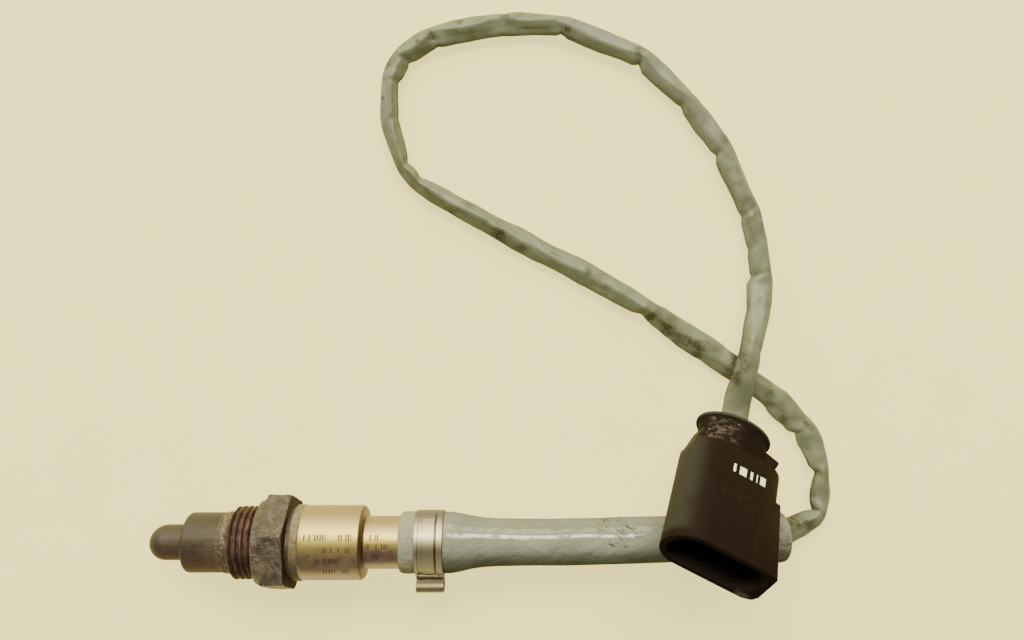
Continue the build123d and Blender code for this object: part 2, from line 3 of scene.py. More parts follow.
import bmesh
import bpy
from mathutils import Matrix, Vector, noise


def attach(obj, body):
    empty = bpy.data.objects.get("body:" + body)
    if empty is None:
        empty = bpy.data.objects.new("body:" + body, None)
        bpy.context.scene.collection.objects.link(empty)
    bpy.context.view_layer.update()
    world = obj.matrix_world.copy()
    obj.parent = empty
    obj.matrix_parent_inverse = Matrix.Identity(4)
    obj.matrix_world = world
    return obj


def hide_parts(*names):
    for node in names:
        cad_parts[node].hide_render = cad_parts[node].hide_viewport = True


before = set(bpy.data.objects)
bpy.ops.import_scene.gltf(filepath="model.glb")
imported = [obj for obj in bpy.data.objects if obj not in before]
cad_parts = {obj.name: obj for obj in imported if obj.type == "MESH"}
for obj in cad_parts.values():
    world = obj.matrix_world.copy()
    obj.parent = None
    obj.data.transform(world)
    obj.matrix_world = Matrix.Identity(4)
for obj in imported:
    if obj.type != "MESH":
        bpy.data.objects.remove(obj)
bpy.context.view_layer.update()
mm = 0.001

# ---- Camera ------------------------------------------------------------------------
# A phone-like camera that looks straight down from about 20 cm, so the hexagon and the
# plug show a little of the sides that face the middle of the picture.
camera = bpy.data.objects.new("camera", bpy.data.cameras.new("camera"))
bpy.context.collection.objects.link(camera)
camera.location = (0.0632, 0.0562, 0.205)
camera.data.sensor_width = 36
camera.data.lens = 28.48
camera.data.clip_start = 0.01
bpy.context.scene.camera = camera

# ---- Studio light ------------------------------------------------------------------
# A soft box high on the +Y side, a wider one low behind it and a dim warm room, so round
# pieces show one broad highlight and a dark side towards -Y.
room = bpy.data.worlds.new("room")
room.use_nodes = True
room_light = room.node_tree.nodes["Background"].inputs
room_light["Color"].default_value = (1.0, 0.93, 0.72, 1)
room_light["Strength"].default_value = 0.13
bpy.context.scene.world = room


def soft_box(name, place, aim, width, depth, watts, colour):
    """A flat lamp of width by depth metres that stands at place and points at aim."""
    lamp = bpy.data.lights.new(name, "AREA")
    lamp.shape = "RECTANGLE"
    lamp.size, lamp.size_y = width, depth
    lamp.energy, lamp.color = watts, colour
    held = bpy.data.objects.new(name, lamp)
    bpy.context.collection.objects.link(held)
    held.location = place
    held.rotation_euler = (Vector(aim) - Vector(place)).to_track_quat("-Z", "Y").to_euler()


scene_middle = (0.06, 0.05, 0)
soft_box("key_box", (0.06, 0.82, 0.985), scene_middle, 1.2, 0.36, 31, (1.0, 0.93, 0.66))
soft_box("side_box", (-0.42, 1.27, 0.53), scene_middle, 2.6, 0.8, 31, (1.0, 0.94, 0.74))


# ---- Table top ---------------------------------------------------------------------
# The pale cream board that everything lies on, which isn't part of the object. It glows
# in its own warm colour, so the shadows on it stay weak.
class Wire:
    """An output socket that takes part in expressions; each operator adds its node."""

    def __init__(self, tree, socket):
        self.tree, self.socket = tree, socket

    def node(self, kind, settings=None, inputs=None, output=0):
        """Adds a node: its type, its settings (set first), and its inputs' values or wires."""
        made = self.tree.nodes.new("ShaderNode" + kind)
        for name, value in (settings or {}).items():
            setattr(made, name, value)
        for name, value in (inputs or {}).items():
            if isinstance(value, Wire):
                self.tree.links.new(value.socket, made.inputs[name])
            else:
                made.inputs[name].default_value = value
        return Wire(self.tree, made.outputs[output])

    def maths(self, operation, *values):
        """A Math node on numbers or wires."""
        return self.node("Math", {"operation": operation}, dict(enumerate(values)))

    def __add__(self, other):
        return self.maths("ADD", self, other)

    __radd__ = __add__

    def __mul__(self, other):
        return self.maths("MULTIPLY", self, other)

    __rmul__ = __mul__

    def __sub__(self, other):
        return self.maths("SUBTRACT", self, other)

    def __rsub__(self, other):
        return self.maths("SUBTRACT", other, self)

    def __truediv__(self, other):
        return self.maths("DIVIDE", self, other)

    def __abs__(self):
        return self.maths("ABSOLUTE", self)

    def part(self, axis):
        """One part of this point or direction: 0, 1 and 2 are X, Y and Z."""
        return self.node("SeparateXYZ", inputs={"Vector": self}, output=axis)

    def distance(self, place):
        """How far this point is from a place, in metres."""
        return self.node("VectorMath", {"operation": "DISTANCE"}, {0: self, 1: place}, 1)

    def step(self, low, high):
        """0 below low, 1 above high, and smooth between."""
        limits = {"Value": self, "From Min": low, "From Max": high}
        return self.node("MapRange", {"interpolation_type": "SMOOTHSTEP"}, limits)

    def noise(self, size, detail=3.0, roughness=0.55, stretch=(1, 1, 1), seed=0.0):
        """Noise with lumps of about size millimetres at this point; 0.5 on average."""
        shifts = {"Vector": self, "Scale": stretch, "Location": (seed, 2 * seed, -seed)}
        moved = self.node("Mapping", inputs=shifts)
        settings = {"Vector": moved, "Scale": 1000 / size, "Detail": detail, "Roughness": roughness}
        return self.node("TexNoise", inputs=settings)

    def blend(self, first, second):
        """The first colour where this is 0 and the second where it is 1."""
        a, b = [end if isinstance(end, Wire) else (*end, 1) for end in (first, second)]
        return self.node("Mix", {"data_type": "RGBA"}, {0: self, 6: a, 7: b}, 2)


def finish(name, **fixed):
    """A material with its uniform shader values; returns it and its object-space point."""
    material = bpy.data.materials.new(name)
    material.use_nodes = True
    tree = material.node_tree
    shader = tree.nodes["Principled BSDF"]
    for socket, value in fixed.items():
        shader.inputs[socket.replace("_", " ")].default_value = value
    return material, Wire(tree, None).node("TexCoord", output=3)


def feed(material, colour, roughness=None, height=None, depth=None, **others):
    """Joins the varying colour, roughness and surface height (depth in mm) to the shader."""
    tree = material.node_tree
    inputs = dict(others, Base_Color=colour)
    if roughness is not None:
        inputs["Roughness"] = roughness
    if height is not None:
        relief = {"Height": height, "Distance": depth * mm, "Strength": 1.0}
        inputs["Normal"] = height.node("Bump", inputs=relief)
    for socket, wire in inputs.items():
        tree.links.new(wire.socket, tree.nodes["Principled BSDF"].inputs[socket.replace("_", " ")])


floor_z = -11.818 * mm
sheet = bpy.data.meshes.new("table_top")
corners = [(x, y, floor_z) for x, y in ((-3, -3), (3, -3), (3, 3), (-3, 3))]
sheet.from_pydata(corners, [], [(0, 1, 2, 3)])
table_top = bpy.data.objects.new("table_top", sheet)
bpy.context.collection.objects.link(table_top)
lit_board, point = finish("pale_board", Roughness=0.9, Specular_IOR_Level=0.1)
glow = lit_board.node_tree.nodes["Principled BSDF"].inputs
glow["Emission Color"].default_value = (1.0, 0.87, 0.3, 1)
glow["Emission Strength"].default_value = 1.62
speckle = point.noise(14, 2).step(0.3, 0.7)
feed(lit_board, speckle.blend((0.4, 0.36, 0.15), (0.42, 0.375, 0.16)))
sheet.materials.append(lit_board)

# ---- Steel housing -----------------------------------------------------------------
# Threaded shank, washer face, hexagon and rear collar, turned from one heat-resisting
# steel bar. Road dirt and rust have dulled it, darkest and reddest in the thread.
thread_top, thread_root, thread_pitch = 9.0, 8.05, 1.5
thread_start, crest_on_top = -7.0, -4.29
hex_half_flats, hex_corner_r, hex_corner_angle = 11.0, 12.55, 68.5
washer_end, hex_rear = 1.7, 7.9
nose_start, nose_r, nose_bore = -8.6, 7.5, 3.4
rear_bore, bore_step = 5.25, -6.0
collar_r, collar_end = 8.65, 14.2
housing_points = 240


def skin(name, rings, looped, sharp):
    """A piece whose surface runs from ring to ring of points in millimetres; the last
    ring joins the first if looped. Edges that turn more than sharp degrees stay crisp."""
    count = len(rings[0])
    verts = [Vector(p) * mm for ring in rings for p in ring]
    faces = []
    spans = len(rings) if looped else len(rings) - 1
    for i in range(spans):
        a, b = i * count, (i + 1) % len(rings) * count
        for j in range(count):
            k = (j + 1) % count
            faces.append((a + j, a + k, b + k, b + j))
    if not looped:
        faces.append(tuple(range(count - 1, -1, -1)))
        faces.append(tuple(range(spans * count, (spans + 1) * count)))
    mesh = bpy.data.meshes.new(name)
    mesh.from_pydata(verts, [], faces)
    shape = bmesh.new()
    shape.from_mesh(mesh)
    bmesh.ops.recalc_face_normals(shape, faces=shape.faces)
    shape.to_mesh(mesh)
    shape.free()
    mesh.shade_smooth()
    mesh.set_sharp_from_angle(angle=math.radians(sharp))
    piece = bpy.data.objects.new(name, mesh)
    bpy.context.collection.objects.link(piece)
    return piece


def turned_ring(x, radius, count, first_angle=0.0):
    """A ring about the sensor's axis; radius is a number or a function of x and degrees."""
    ring = []
    for j in range(count):
        angle = first_angle + 360 * j / count
        r = radius(x, angle) if callable(radius) else radius
        ring.append((x, r * math.cos(math.radians(angle)), r * math.sin(math.radians(angle))))
    return ring


def lumps(x, angle, size, depth, seed=0.0):
    """Unevenness of a worn round surface, in millimetres."""
    y, z = 9 * math.cos(math.radians(angle)), 9 * math.sin(math.radians(angle))
    return depth * noise.noise(Vector((x + seed, y, z)) / size)


def shank_radius(x, angle):
    """The right-hand thread, fading out at its lead and in the groove by the washer."""
    turns = (x - crest_on_top) / thread_pitch - (angle - 90) / 360
    off_crest = abs((turns + 0.5) % 1 - 0.5) * 2
    groove = min(1, max(0, (off_crest - 0.14) / 0.72))
    depth = (thread_top - thread_root) * groove * groove * (3 - 2 * groove)
    lead = nose_r + 1.5 * (x - thread_start) / 1.1
    runout = thread_root + 0.95 * min(1, max(0, (-0.55 - x) / 0.4))
    return min(thread_top - depth, lead, runout) + lumps(x, angle, 1.1, 0.07)


def weld_radius(x, angle):
    """The uneven weld bead in front of the thread."""
    bulge = 0.12 * math.sin(math.pi * (x - nose_start)) ** 2
    return nose_r + bulge + lumps(x, angle, 0.8, 0.16, 9)


def hexagon_radius(x, angle):
    """Flats and worn corners between the chamfer over the washer and the rear chamfer."""
    flat = hex_half_flats / math.cos(math.radians((angle - hex_corner_angle) % 60 - 30))
    if x < washer_end:
        front = 10.3 + 0.7 * x / washer_end
    else:
        front = 11.0 + 1.75 * (x - washer_end) / 0.6
    rear = 12.1 + 2.0 * (hex_rear - x)
    return min(flat, hex_corner_r, front, rear) + lumps(x, angle, 1.6, 0.12) - 0.05


hex_steps = [0, 0.3, 0.6, 0.9, 1.2, 1.5, washer_end, 1.78, 1.86, 1.94, 2.02, 2.1, 2.2, 2.3, 2.4]
hex_steps += [2.5 + 0.25 * i for i in range(20)] + [7.6, 7.7, 7.8, hex_rear]
places = [(13.5, rear_bore), (bore_step, rear_bore), (bore_step, nose_bore)]
places += [(nose_start, nose_bore), (nose_start, 7.3)]
places += [(-8.55 + 0.14 * i, weld_radius) for i in range(11)]
places += [(thread_start + 0.083 * i, shank_radius) for i in range(80)]
places += [(-0.38, 8.1), (-0.05, 8.15), (0.0, 8.2), (0.0, 9.2)]
places += [(x, hexagon_radius) for x in hex_steps]
places += [(7.92, 10.5), (7.92, 8.75), (8.0, collar_r), (14.0, collar_r)]
places += [(collar_end, 8.45), (collar_end, 4.4), (13.5, 4.4)]
# The rings start at a corner, so that each corner gets a row of points of its own.
first_angle = hex_corner_angle - 60
housing_rings = [turned_ring(x, r, housing_points, first_angle) for x, r in places]
housing = skin("threaded_housing", housing_rings, True, 40)


def facing(point, axis, low, high):
    """0 to 1 as the surface turns along an axis of the object (0, 1, 2 are X, Y, Z)."""
    return point.node("TexCoord", output=1).part(axis).step(low, high)


steel, point = finish("housing_steel", Metallic=0.4)
fine, coarse = point.noise(0.55, 5, 0.7), point.noise(2.6, 4, 0.6, seed=3)
axial = point.part(0)
in_thread = (1 - axial.step(-0.0008, -0.0001)) * axial.step(-0.0066, -0.006)
bead = 1 - axial.step(-0.007, -0.0062)
scratch = point.noise(0.7, 3, 0.6, stretch=(0.35, 1, 1), seed=17).step(0.6, 0.7)
worn = (fine * 0.6 + coarse * 0.5).step(0.46, 0.7)
plain = worn.blend((0.06, 0.047, 0.038), (0.215, 0.18, 0.142))
plain = (scratch * 0.7).blend(plain, (0.27, 0.23, 0.17))
slag = fine.step(0.4, 0.62).blend((0.06, 0.043, 0.028), (0.17, 0.13, 0.085))
plain = (bead * 0.8).blend(plain, slag)
# Painted shade: away from the weld bead, faces turned towards +Y and the lamps are darker.
plain = (facing(point, 1, 0.1, 0.7) * (1 - bead) * 0.6).blend(plain, (0.036, 0.028, 0.021))
rusty = coarse.step(0.35, 0.62).blend((0.04, 0.018, 0.014), (0.105, 0.055, 0.045))
feed(
    steel,
    in_thread.blend(plain, rusty),
    0.62 - 0.16 * worn + 0.1 * in_thread,
    fine * 0.7 + coarse * 0.6,
    0.12,
)
housing.data.materials.append(steel)
# The rear face and the bare collar in front of the sleeve get a painted shadow: near-black and mottled,
# without gloss, and paler towards the sides.
recess_shade, point = finish("recess_shade_steel", Specular_IOR_Level=0.0)
mottle = point.noise(0.6, 4, 0.65, seed=23)
shadow_colour = mottle.step(0.4, 0.65).blend((0.026, 0.016, 0.013), (0.06, 0.042, 0.031))
lighter_sides = abs(point.part(1)).step(0.006, 0.0095)
feed(recess_shade, (lighter_sides * 0.7).blend(shadow_colour, (0.088, 0.073, 0.06)), 0.8 + 0.1 * mottle, mottle, 0.08)
housing.data.materials.append(recess_shade)
recess_shade_from, recess_shade_to = 7.86 * mm, 9.2 * mm
for face in housing.data.polygons:
    if recess_shade_from < face.center.x < recess_shade_to:
        face.material_index = 1
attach(housing, "root")
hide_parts("sensor_housing")

# ---- Ceramic core ------------------------------------------------------------------
# Two sintered bushes with a ring of pressed talc between them hold the flat zirconia
# strip gas-tight in the housing; a steel ring under the folded collar keeps them pressed.


def dress(material, *nodes):
    """Gives CAD pieces that keep their own shape a better material."""
    for name in nodes:
        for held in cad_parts[name].material_slots:
            held.material = material


def grained(name, grain, dark, light, rough, depth, **fixed):
    """A material with one even grain: the settings of its noise, its colours, its roughness
    (the lowest, and how much the grain adds) and its relief in millimetres."""
    material, point = finish(name, **fixed)
    lump = point.noise(**grain)
    feed(material, lump.blend(dark, light), rough[0] + rough[1] * lump, lump, depth)
    return material


baked = {"size": 0.3, "detail": 4}
look = ((0.66, 0.63, 0.56), (0.8, 0.77, 0.7), (0.55, 0.2), 0.03)
ceramic = grained("core_ceramic", baked, *look, Specular_IOR_Level=0.35)
dress(ceramic, "front_ceramic_bush", "rear_ceramic_bush", "contact_holder")

powder = {"size": 0.18, "detail": 6, "roughness": 0.75}
look = ((0.52, 0.51, 0.47), (0.72, 0.71, 0.67), (0.8, 0.15), 0.06)
dress(grained("talc", powder, *look, Specular_IOR_Level=0.2), "talc_seal")

zirconia, point = finish("element_ceramic", Specular_IOR_Level=0.5)
fired = point.noise(1.5, 3)
tip_soot = 1 - point.part(0).step(-0.019, -0.01)
white = fired.blend((0.74, 0.73, 0.69), (0.82, 0.81, 0.78))
feed(zirconia, tip_soot.blend(white, (0.16, 0.14, 0.12)), 0.35 + 0.2 * fired, fired, 0.02)
dress(zirconia, "sensor_element")

rolled = {"size": 0.4, "stretch": (0.2, 1, 1)}
look = ((0.42, 0.41, 0.39), (0.56, 0.55, 0.53), (0.3, 0.2), 0.02)
dress(grained("plain_steel", rolled, *look, Metallic=0.95), "press_ring", "contact_spring_ring")

# ---- Protection tubes --------------------------------------------------------------
# A drawn outer cup with eight gas inlets and a domed inner tube, welded on the nose.
# Exhaust heat has tinted the steel olive and brown; a thin film of soot lies on it.
tube_film, point = finish("sooted_tube", Metallic=0.35, Specular_IOR_Level=0.5)
along = point.part(0)
across = point.part(1)
cloud, fine = point.noise(5.5, 3, seed=1), point.noise(0.5, 5, 0.7)
streak = point.noise(0.9, 3, stretch=(0.25, 1, 1), seed=6)
burnt = (0.5 - across / 0.0115 + 0.9 * cloud - 0.45).step(0.25, 0.95)
smoky = (streak * 0.6 + cloud * 0.4).step(0.3, 0.7)
tan = smoky.blend((0.026, 0.02, 0.013), (0.047, 0.037, 0.024))
brown = streak.blend((0.076, 0.042, 0.034), (0.128, 0.078, 0.064))
weld = along.step(-0.0098, -0.009) * fine.step(0.44, 0.64)
grit = point.noise(0.4, 4, 0.75, seed=27).step(0.5, 0.66)
film = (grit * 0.32).blend(burnt.blend(tan, brown), (0.12, 0.094, 0.064))
# Painted shade: faces turned sideways and down towards the table are a dark bluish grey.
film = (1 - facing(point, 2, 0.1, 0.6)).blend(film, (0.036, 0.029, 0.033))
feed(
    tube_film,
    (weld * 0.55).blend(film, (0.22, 0.175, 0.115)),
    0.42 + 0.18 * fine + 0.12 * burnt,
    fine * 0.8 + streak * 0.35 + cloud * 0.2 + weld * 0.4 + grit * 0.2,
    0.09,
)
dress(tube_film, "outer_protection_tube", "inner_protection_tube")

# ---- Protective sleeve -------------------------------------------------------------
# A drawn stainless can that steps down to a slim neck. Its skirt is laser-welded round
# the collar and left rough and beige; heat has tinted the can straw, brown below.
shoulder_x, shoulder_r, shoulder_bend = 25.2, 8.0, 1.2
neck_r, neck_bore, neck_end = 6.5, 6.0, 50.0
can_skin = [(8.9, 8.75), (8.9, 9.1), (9.05, 9.3)]
can_skin += [(9.3 + 0.2 * i, lambda x, a: 9.35 + lumps(x, a, 0.9, 0.16, 4)) for i in range(8)]
can_skin += [(10.95, 9.28), (11.1, 9.12), (11.3, 9.16)]
can_skin += [(11.6 + 0.74 * i, lambda x, a: 9.2 + lumps(x, a, 7, 0.05, 2)) for i in range(19)]
for turn in range(0, 91, 10):
    s, c = math.sin(math.radians(turn)), math.cos(math.radians(turn))
    can_skin.append((shoulder_x + shoulder_bend * s, shoulder_r + shoulder_bend * c))
can_skin += [(26.4, 7.2), (26.42, 6.95), (26.5, 6.72), (26.65, 6.56), (26.9, neck_r)]
can_skin += [(27.5 + 0.75 * i, neck_r) for i in range(31)]
can_skin += [(neck_end, neck_r), (neck_end, neck_bore), (25.9, neck_bore), (25.9, 7.9)]
can_skin += [(25.4, 8.5), (24.8, 8.7), (14.3, 8.7)]
can_points = 128
sleeve = skin("protective_can", [turned_ring(x, r, can_points) for x, r in can_skin], True, 32)

bright, point = finish("sleeve_steel", Metallic=0.9)
along = point.part(0)
across = point.part(1)
up = point.part(2)
degrees_per_radian = 57.3
around = across.maths("ARCTAN2", up, across) * degrees_per_radian
cloud, fine = point.noise(4.5, 4, 0.6, seed=2), point.noise(0.35, 4, 0.7)
turning = point.noise(0.5, 2, stretch=(1, 0.06, 0.06), seed=5)
blotch = point.noise(2.2, 4, 0.65, seed=9)
skirt = 1 - along.step(0.01085, 0.01105)
bend = along.step(0.0255, 0.0259) * (1 - along.step(0.0265, 0.027))
low_side = around.step(82, 100) * (1 - 0.85 * around.step(108, 124))
straw = cloud.blend((0.345, 0.271, 0.13), (0.45, 0.365, 0.186))
# Painted shade: faces turned far towards +Y, where the lamps and table reflect brightest, are darker.
straw = (facing(point, 1, 0.7, 1) * 0.35).blend(straw, (0.2, 0.165, 0.12))
brown = blotch.step(0.3, 0.7).blend((0.36, 0.255, 0.205), (0.225, 0.146, 0.132))
neck_burn = along.step(0.0265, 0.028) * (1 - along.step(0.0335, 0.0348))
neck_burn = neck_burn * around.step(88, 100) * (1 - 0.7 * around.step(122, 134))
burnt = low_side * (0.4 + 0.45 * blotch.step(0.32, 0.66)) + neck_burn * 0.75
tinted = burnt.step(0.05, 1).blend(straw, brown)
# Painted highlight: in the band of faces where the lamps' reflection falls, the colour turns a deeper
# yellow.
gleam = facing(point, 1, -0.1, 0.25) * (1 - facing(point, 1, 0.55, 0.8))
gleam = gleam * (0.5 + cloud.step(0.35, 0.6) * 0.5)
tinted = (gleam * 0.8).blend(tinted, (0.46, 0.37, 0.095))
# Painted reflection: the flank facing -Y is tinted violet against the warm reflection of the table.
flank = 1 - facing(point, 1, -0.7, -0.2)
violet = cloud.step(0.35, 0.65).blend((0.3, 0.24, 0.32), (0.42, 0.35, 0.38))
tinted = (flank * 0.75).blend(tinted, violet)
# Painted shade: faces turned down, less so towards +Y, are darker and bluer against the table's warm
# light.
underside_shade = (1 - facing(point, 2, 0.3, 0.85)) * (0.9 - 0.75 * facing(point, 1, 0, 0.6))
tinted = underside_shade.blend(tinted, (0.165, 0.15, 0.275))
pale = (fine * 0.6 + blotch * 0.4).step(0.35, 0.65).blend((0.17, 0.14, 0.085), (0.36, 0.3, 0.2))
pale = (around.step(92, 122) * 0.6).blend(pale, (0.125, 0.088, 0.078))
specks = point.noise(0.7, 2, seed=12).step(0.66, 0.74)


def code_row(start, end, angle, height, pitch):
    """One engraved row of plain strokes: where it starts and ends along the can in mm, the
    angle of its middle and half its height in degrees, and the strokes' pitch in mm."""
    place = along * (1000 / pitch)
    cell = place.maths("FLOOR", place)
    chance = cell.node("TexWhiteNoise", {"noise_dimensions": "1D"}, {"W": cell + angle})
    stroke = 1 - (place - cell).step(0.42, 0.56)
    tall = around - angle
    soft_degrees, soft_edge = 0.6, 1e-5
    rows = tall.step(-height - soft_degrees, -height) * (1 - tall.step(height, height + soft_degrees))
    from_start = along.step(start * mm, start * mm + soft_edge)
    past_end = along.step(end * mm, end * mm + soft_edge)
    return stroke * chance.step(0.25, 0.3) * rows * (from_start * (1 - past_end))


code_rows = [
    (12.4, 18.0, 69, 4.6, 0.66), (20.6, 24.2, 69, 4.6, 0.6), (17.1, 23.7, 88, 4.4, 0.6),
    (16.6, 21.5, 105, 4.2, 0.62), (16.4, 24.4, 123, 4.6, 0.66), (27.7, 30.4, 66, 6, 0.6),
    (27.2, 32.7, 86, 6, 0.66), (28.4, 33.0, 108, 6, 0.6),
]
code = sum(code_row(*row) for row in code_rows)
darker = (bend * 0.85 + specks * 0.5 + code * 0.8).step(0, 1)
feed(
    bright,
    skirt.blend(darker.blend(tinted, (0.105, 0.066, 0.05)), pale),
    0.38 + 0.12 * cloud + 0.3 * skirt + 0.1 * low_side + 0.15 * code,
    skirt * fine * 1.4 + turning * 0.14 + blotch * 0.2 + fine * 0.08 - code * 0.5,
    0.08,
)
sleeve.data.materials.append(bright)
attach(sleeve, "root")
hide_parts("protective_sleeve")

# ---- Contacts, grommet and leads ---------------------------------------------------
# Nickel-plated spring contacts press on the strip's pads and are crimped to five leads,
# which leave through a dark fluoro-rubber grommet and run on inside the hose.
look = ((0.58, 0.55, 0.47), (0.7, 0.67, 0.6), (0.22, 0.2), 0.01)
dress(grained("contact_metal", {"size": 0.4}, *look, Metallic=1.0), "contact_terminals")

moulded = {"size": 0.5, "detail": 4}
look = ((0.018, 0.018, 0.017), (0.035, 0.034, 0.032), (0.6, 0.2), 0.04)
dress(grained("grommet_rubber", moulded, *look, Specular_IOR_Level=0.3), "cable_grommet")

drawn = {"size": 0.8, "stretch": (0.1, 1, 1)}
look = ((0.3, 0.3, 0.29), (0.46, 0.46, 0.44), (0.4, 0.2), 0.02)
insulation = grained("lead_insulation", drawn, *look, Specular_IOR_Level=0.4)
dress(insulation, "lead_wires", "plug_leads")

# ---- Hose --------------------------------------------------------------------------
# A moulded silicone-rubber hose, wide over the sleeve's neck and slim behind the clamp,
# that sags to the table and ends in a thick cuff. Its skin is glossy and slightly lumpy.
hose_start, hose_end = 35.1, 133.82
hose_bend_start, hose_bend_r, hose_slope = 61.0, 300.0, 0.0896809
hose_straight_start = hose_bend_start + hose_bend_r * hose_slope
hose_profile = [
    (hose_start, 6.75), (35.16, 7.05), (35.4, 7.35), (35.8, 7.55), (36.4, 7.65), (37.6, 7.66),
    (38.7, 7.6), (39.0, 7.5), (46.2, 7.5), (46.5, 7.58), (47.6, 7.56), (50.0, 7.2), (53.0, 6.55),
    (56.0, 6.1), (60.0, 5.82), (66.0, 5.8), (119.8, 5.8), (122.4, 5.86), (125.2, 6.22), (127.8, 6.5),
    (132.5, 6.5), (133.3, 6.25), (133.7, 5.8), (hose_end, 5.3),
]


def along_profile(profile, x):
    """The radius at x, straight between the profile's places."""
    for (x0, r0), (x1, r1) in zip(profile, profile[1:]):
        if x <= x1:
            t = min(1, max(0, (x - x0) / (x1 - x0)))
            return r0 + (r1 - r0) * t
    return profile[-1][1]


def hose_ring(x, radius, count=96):
    """A ring square to the hose's centre line, x millimetres along it; radius is a number or
    a function of x and radians."""
    turn = min(hose_slope, max(0, (x - hose_bend_start) / hose_bend_r))
    rest = max(0, x - hose_straight_start)
    start = min(x, hose_bend_start)
    cx = start + hose_bend_r * math.sin(turn) + rest * math.cos(turn)
    cz = -hose_bend_r * (1 - math.cos(turn)) - rest * math.sin(turn)
    ring = []
    for j in range(count):
        angle = 2 * math.pi * j / count
        r = radius(x, angle) if callable(radius) else radius
        y, z = r * math.cos(angle), r * math.sin(angle)
        ring.append((cx + z * math.sin(turn), y, cz + z * math.cos(turn)))
    return ring


def hose_radius(x, angle):
    """The moulded profile with a ragged front lip and the soft lumps of a used hose."""
    c, s = math.cos(angle), math.sin(angle)
    free = min(1, max(0, (x - 46.5) / 4)) * min(1, max(0, (131 - x) / 4))
    large = 0.16 * noise.noise(Vector((x / 9, c * 0.9, s * 0.9)))
    small = 0.05 * noise.noise(Vector((x / 3.5, c * 2, s * 2)))
    ragged = 0.16 * noise.noise(Vector((3, c * 5, s * 5))) if x < 35.5 else 0
    return along_profile(hose_profile, x) + free * (large + small) + ragged


outside = [hose_start, 35.16, 35.3, 35.5, 35.8, 36.1, 36.5, 37.0, 37.6, 38.2, 38.7, 39.0]
outside += [39.8 + 0.8 * i for i in range(8)] + [46.2, 46.35, 46.5, 46.8, 47.2]
outside += [47.9 + 0.75 * i for i in range(113)]
outside += [132.9, 133.2, 133.4, 133.6, 133.72, 133.8, hose_end]
hose_bore, neck_socket, cord_socket = 4.2, 6.55, 2.85
inside = [(hose_end, 2.95), (133.7, cord_socket), (129.8, cord_socket), (129.8, hose_bore)]
inside += [(87.9, hose_bore), (74.0, hose_bore), (61.0, hose_bore)]
inside += [(50.05, neck_socket), (hose_start, neck_socket)]
hose_rings = [hose_ring(x, hose_radius) for x in outside] + [hose_ring(x, r) for x, r in inside]
hose = skin("sagging_hose", hose_rings, True, 45)

rubber, point = finish("hose_rubber", Specular_IOR_Level=0.0, Coat_Roughness=0.11, Coat_IOR=1.65)
along = point.part(0)
cloud, fine = point.noise(7, 3, seed=4), point.noise(0.7, 4, 0.6)
grime = point.noise(2.4, 5, 0.7, stretch=(0.35, 1, 1), seed=8).step(0.6, 0.76)
spots = point.noise(1.0, 3, 0.7, seed=15).step(0.68, 0.76)
grey = cloud.step(0.3, 0.7).blend((0.116, 0.132, 0.108), (0.148, 0.165, 0.14))
cuff_dirt = along.step(0.1265, 0.1285) * point.noise(2.0, 4).step(0.35, 0.7)
across = point.part(1)
slant = {0: along * 0.22 - across * 0.18, 1: along * 0.8 + across, 2: 0.0}
scuffs = point.node("CombineXYZ", inputs=slant).noise(0.7, 3, 0.6, seed=33).step(0.55, 0.62)
scuffed = 1 - point.distance((0.09, 0.0045, 0.003)).step(0.004, 0.007)
dirt = (grime * 0.35 + spots * 0.45 + cuff_dirt * 0.55 + scuffs * scuffed * 0.8).step(0, 1)
lip = 1 - along.step(0.0385, 0.0395)
chalky = fine.step(0.35, 0.65).blend((0.27, 0.26, 0.17), (0.38, 0.365, 0.26))
grey = (lip * 0.8).blend(grey, chalky)
# Painted light: the top of the hose, facing up, is lighter, and the side facing +Y lighter still.
crown = facing(point, 1, -0.55, 0) * (1 - facing(point, 1, 0.55, 0.9))
painted_crown_light = cloud.step(0.3, 0.7).blend((0.205, 0.217, 0.182), (0.245, 0.257, 0.22))
grey = (crown * 0.9).blend(grey, painted_crown_light)
grey = (facing(point, 1, 0.55, 0.95) * 0.55).blend(grey, (0.205, 0.217, 0.178))
ripple = point.noise(3.5, 2, stretch=(1, 0.3, 0.3), seed=51)
lit_side = (facing(point, 1, 0, 0.5) + (ripple - 0.5) * 0.6).step(0.36, 0.52)
# Painted shade: faces turned down, less so towards +Y, are a bluer grey against the table's warm light.
underside_shade = (1 - facing(point, 2, -0.05, 0.55)) * (1 - 0.75 * facing(point, 1, 0, 0.7))
grey = underside_shade.blend(grey, (0.118, 0.128, 0.152))
patchy = point.noise(1.5, 3, 0.65, stretch=(0.5, 1, 1), seed=44).step(0.42, 0.58)
gloss = (0.85 - 0.6 * dirt) * (0.2 + 0.8 * patchy) * (1 - 0.8 * lip)
feed(
    rubber,
    dirt.blend(grey, (0.052, 0.048, 0.026)),
    0.42 + 0.1 * fine + 0.25 * dirt,
    cloud * 0.3 + fine * 0.25 + point.noise(1.8, 3, seed=40) * 1.3,
    0.3,
    Coat_Weight=gloss * lit_side * facing(point, 2, 0.2, 0.6),
)
hose.data.materials.append(rubber)
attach(hose, "root")
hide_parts("protective_hose")

# ---- Ear clamp ---------------------------------------------------------------------
# A stepless clamp of stainless strip: its inner end shows as a tongue between two slots
# of the band, and one hollow ear towards -Y has been pinched to tighten it.
clamp_start, clamp_end, strip_thickness = 39.1, 46.1, 0.5
band_bore, band_edge_r, band_r, band_points = 7.55, 7.88, 8.0, 180


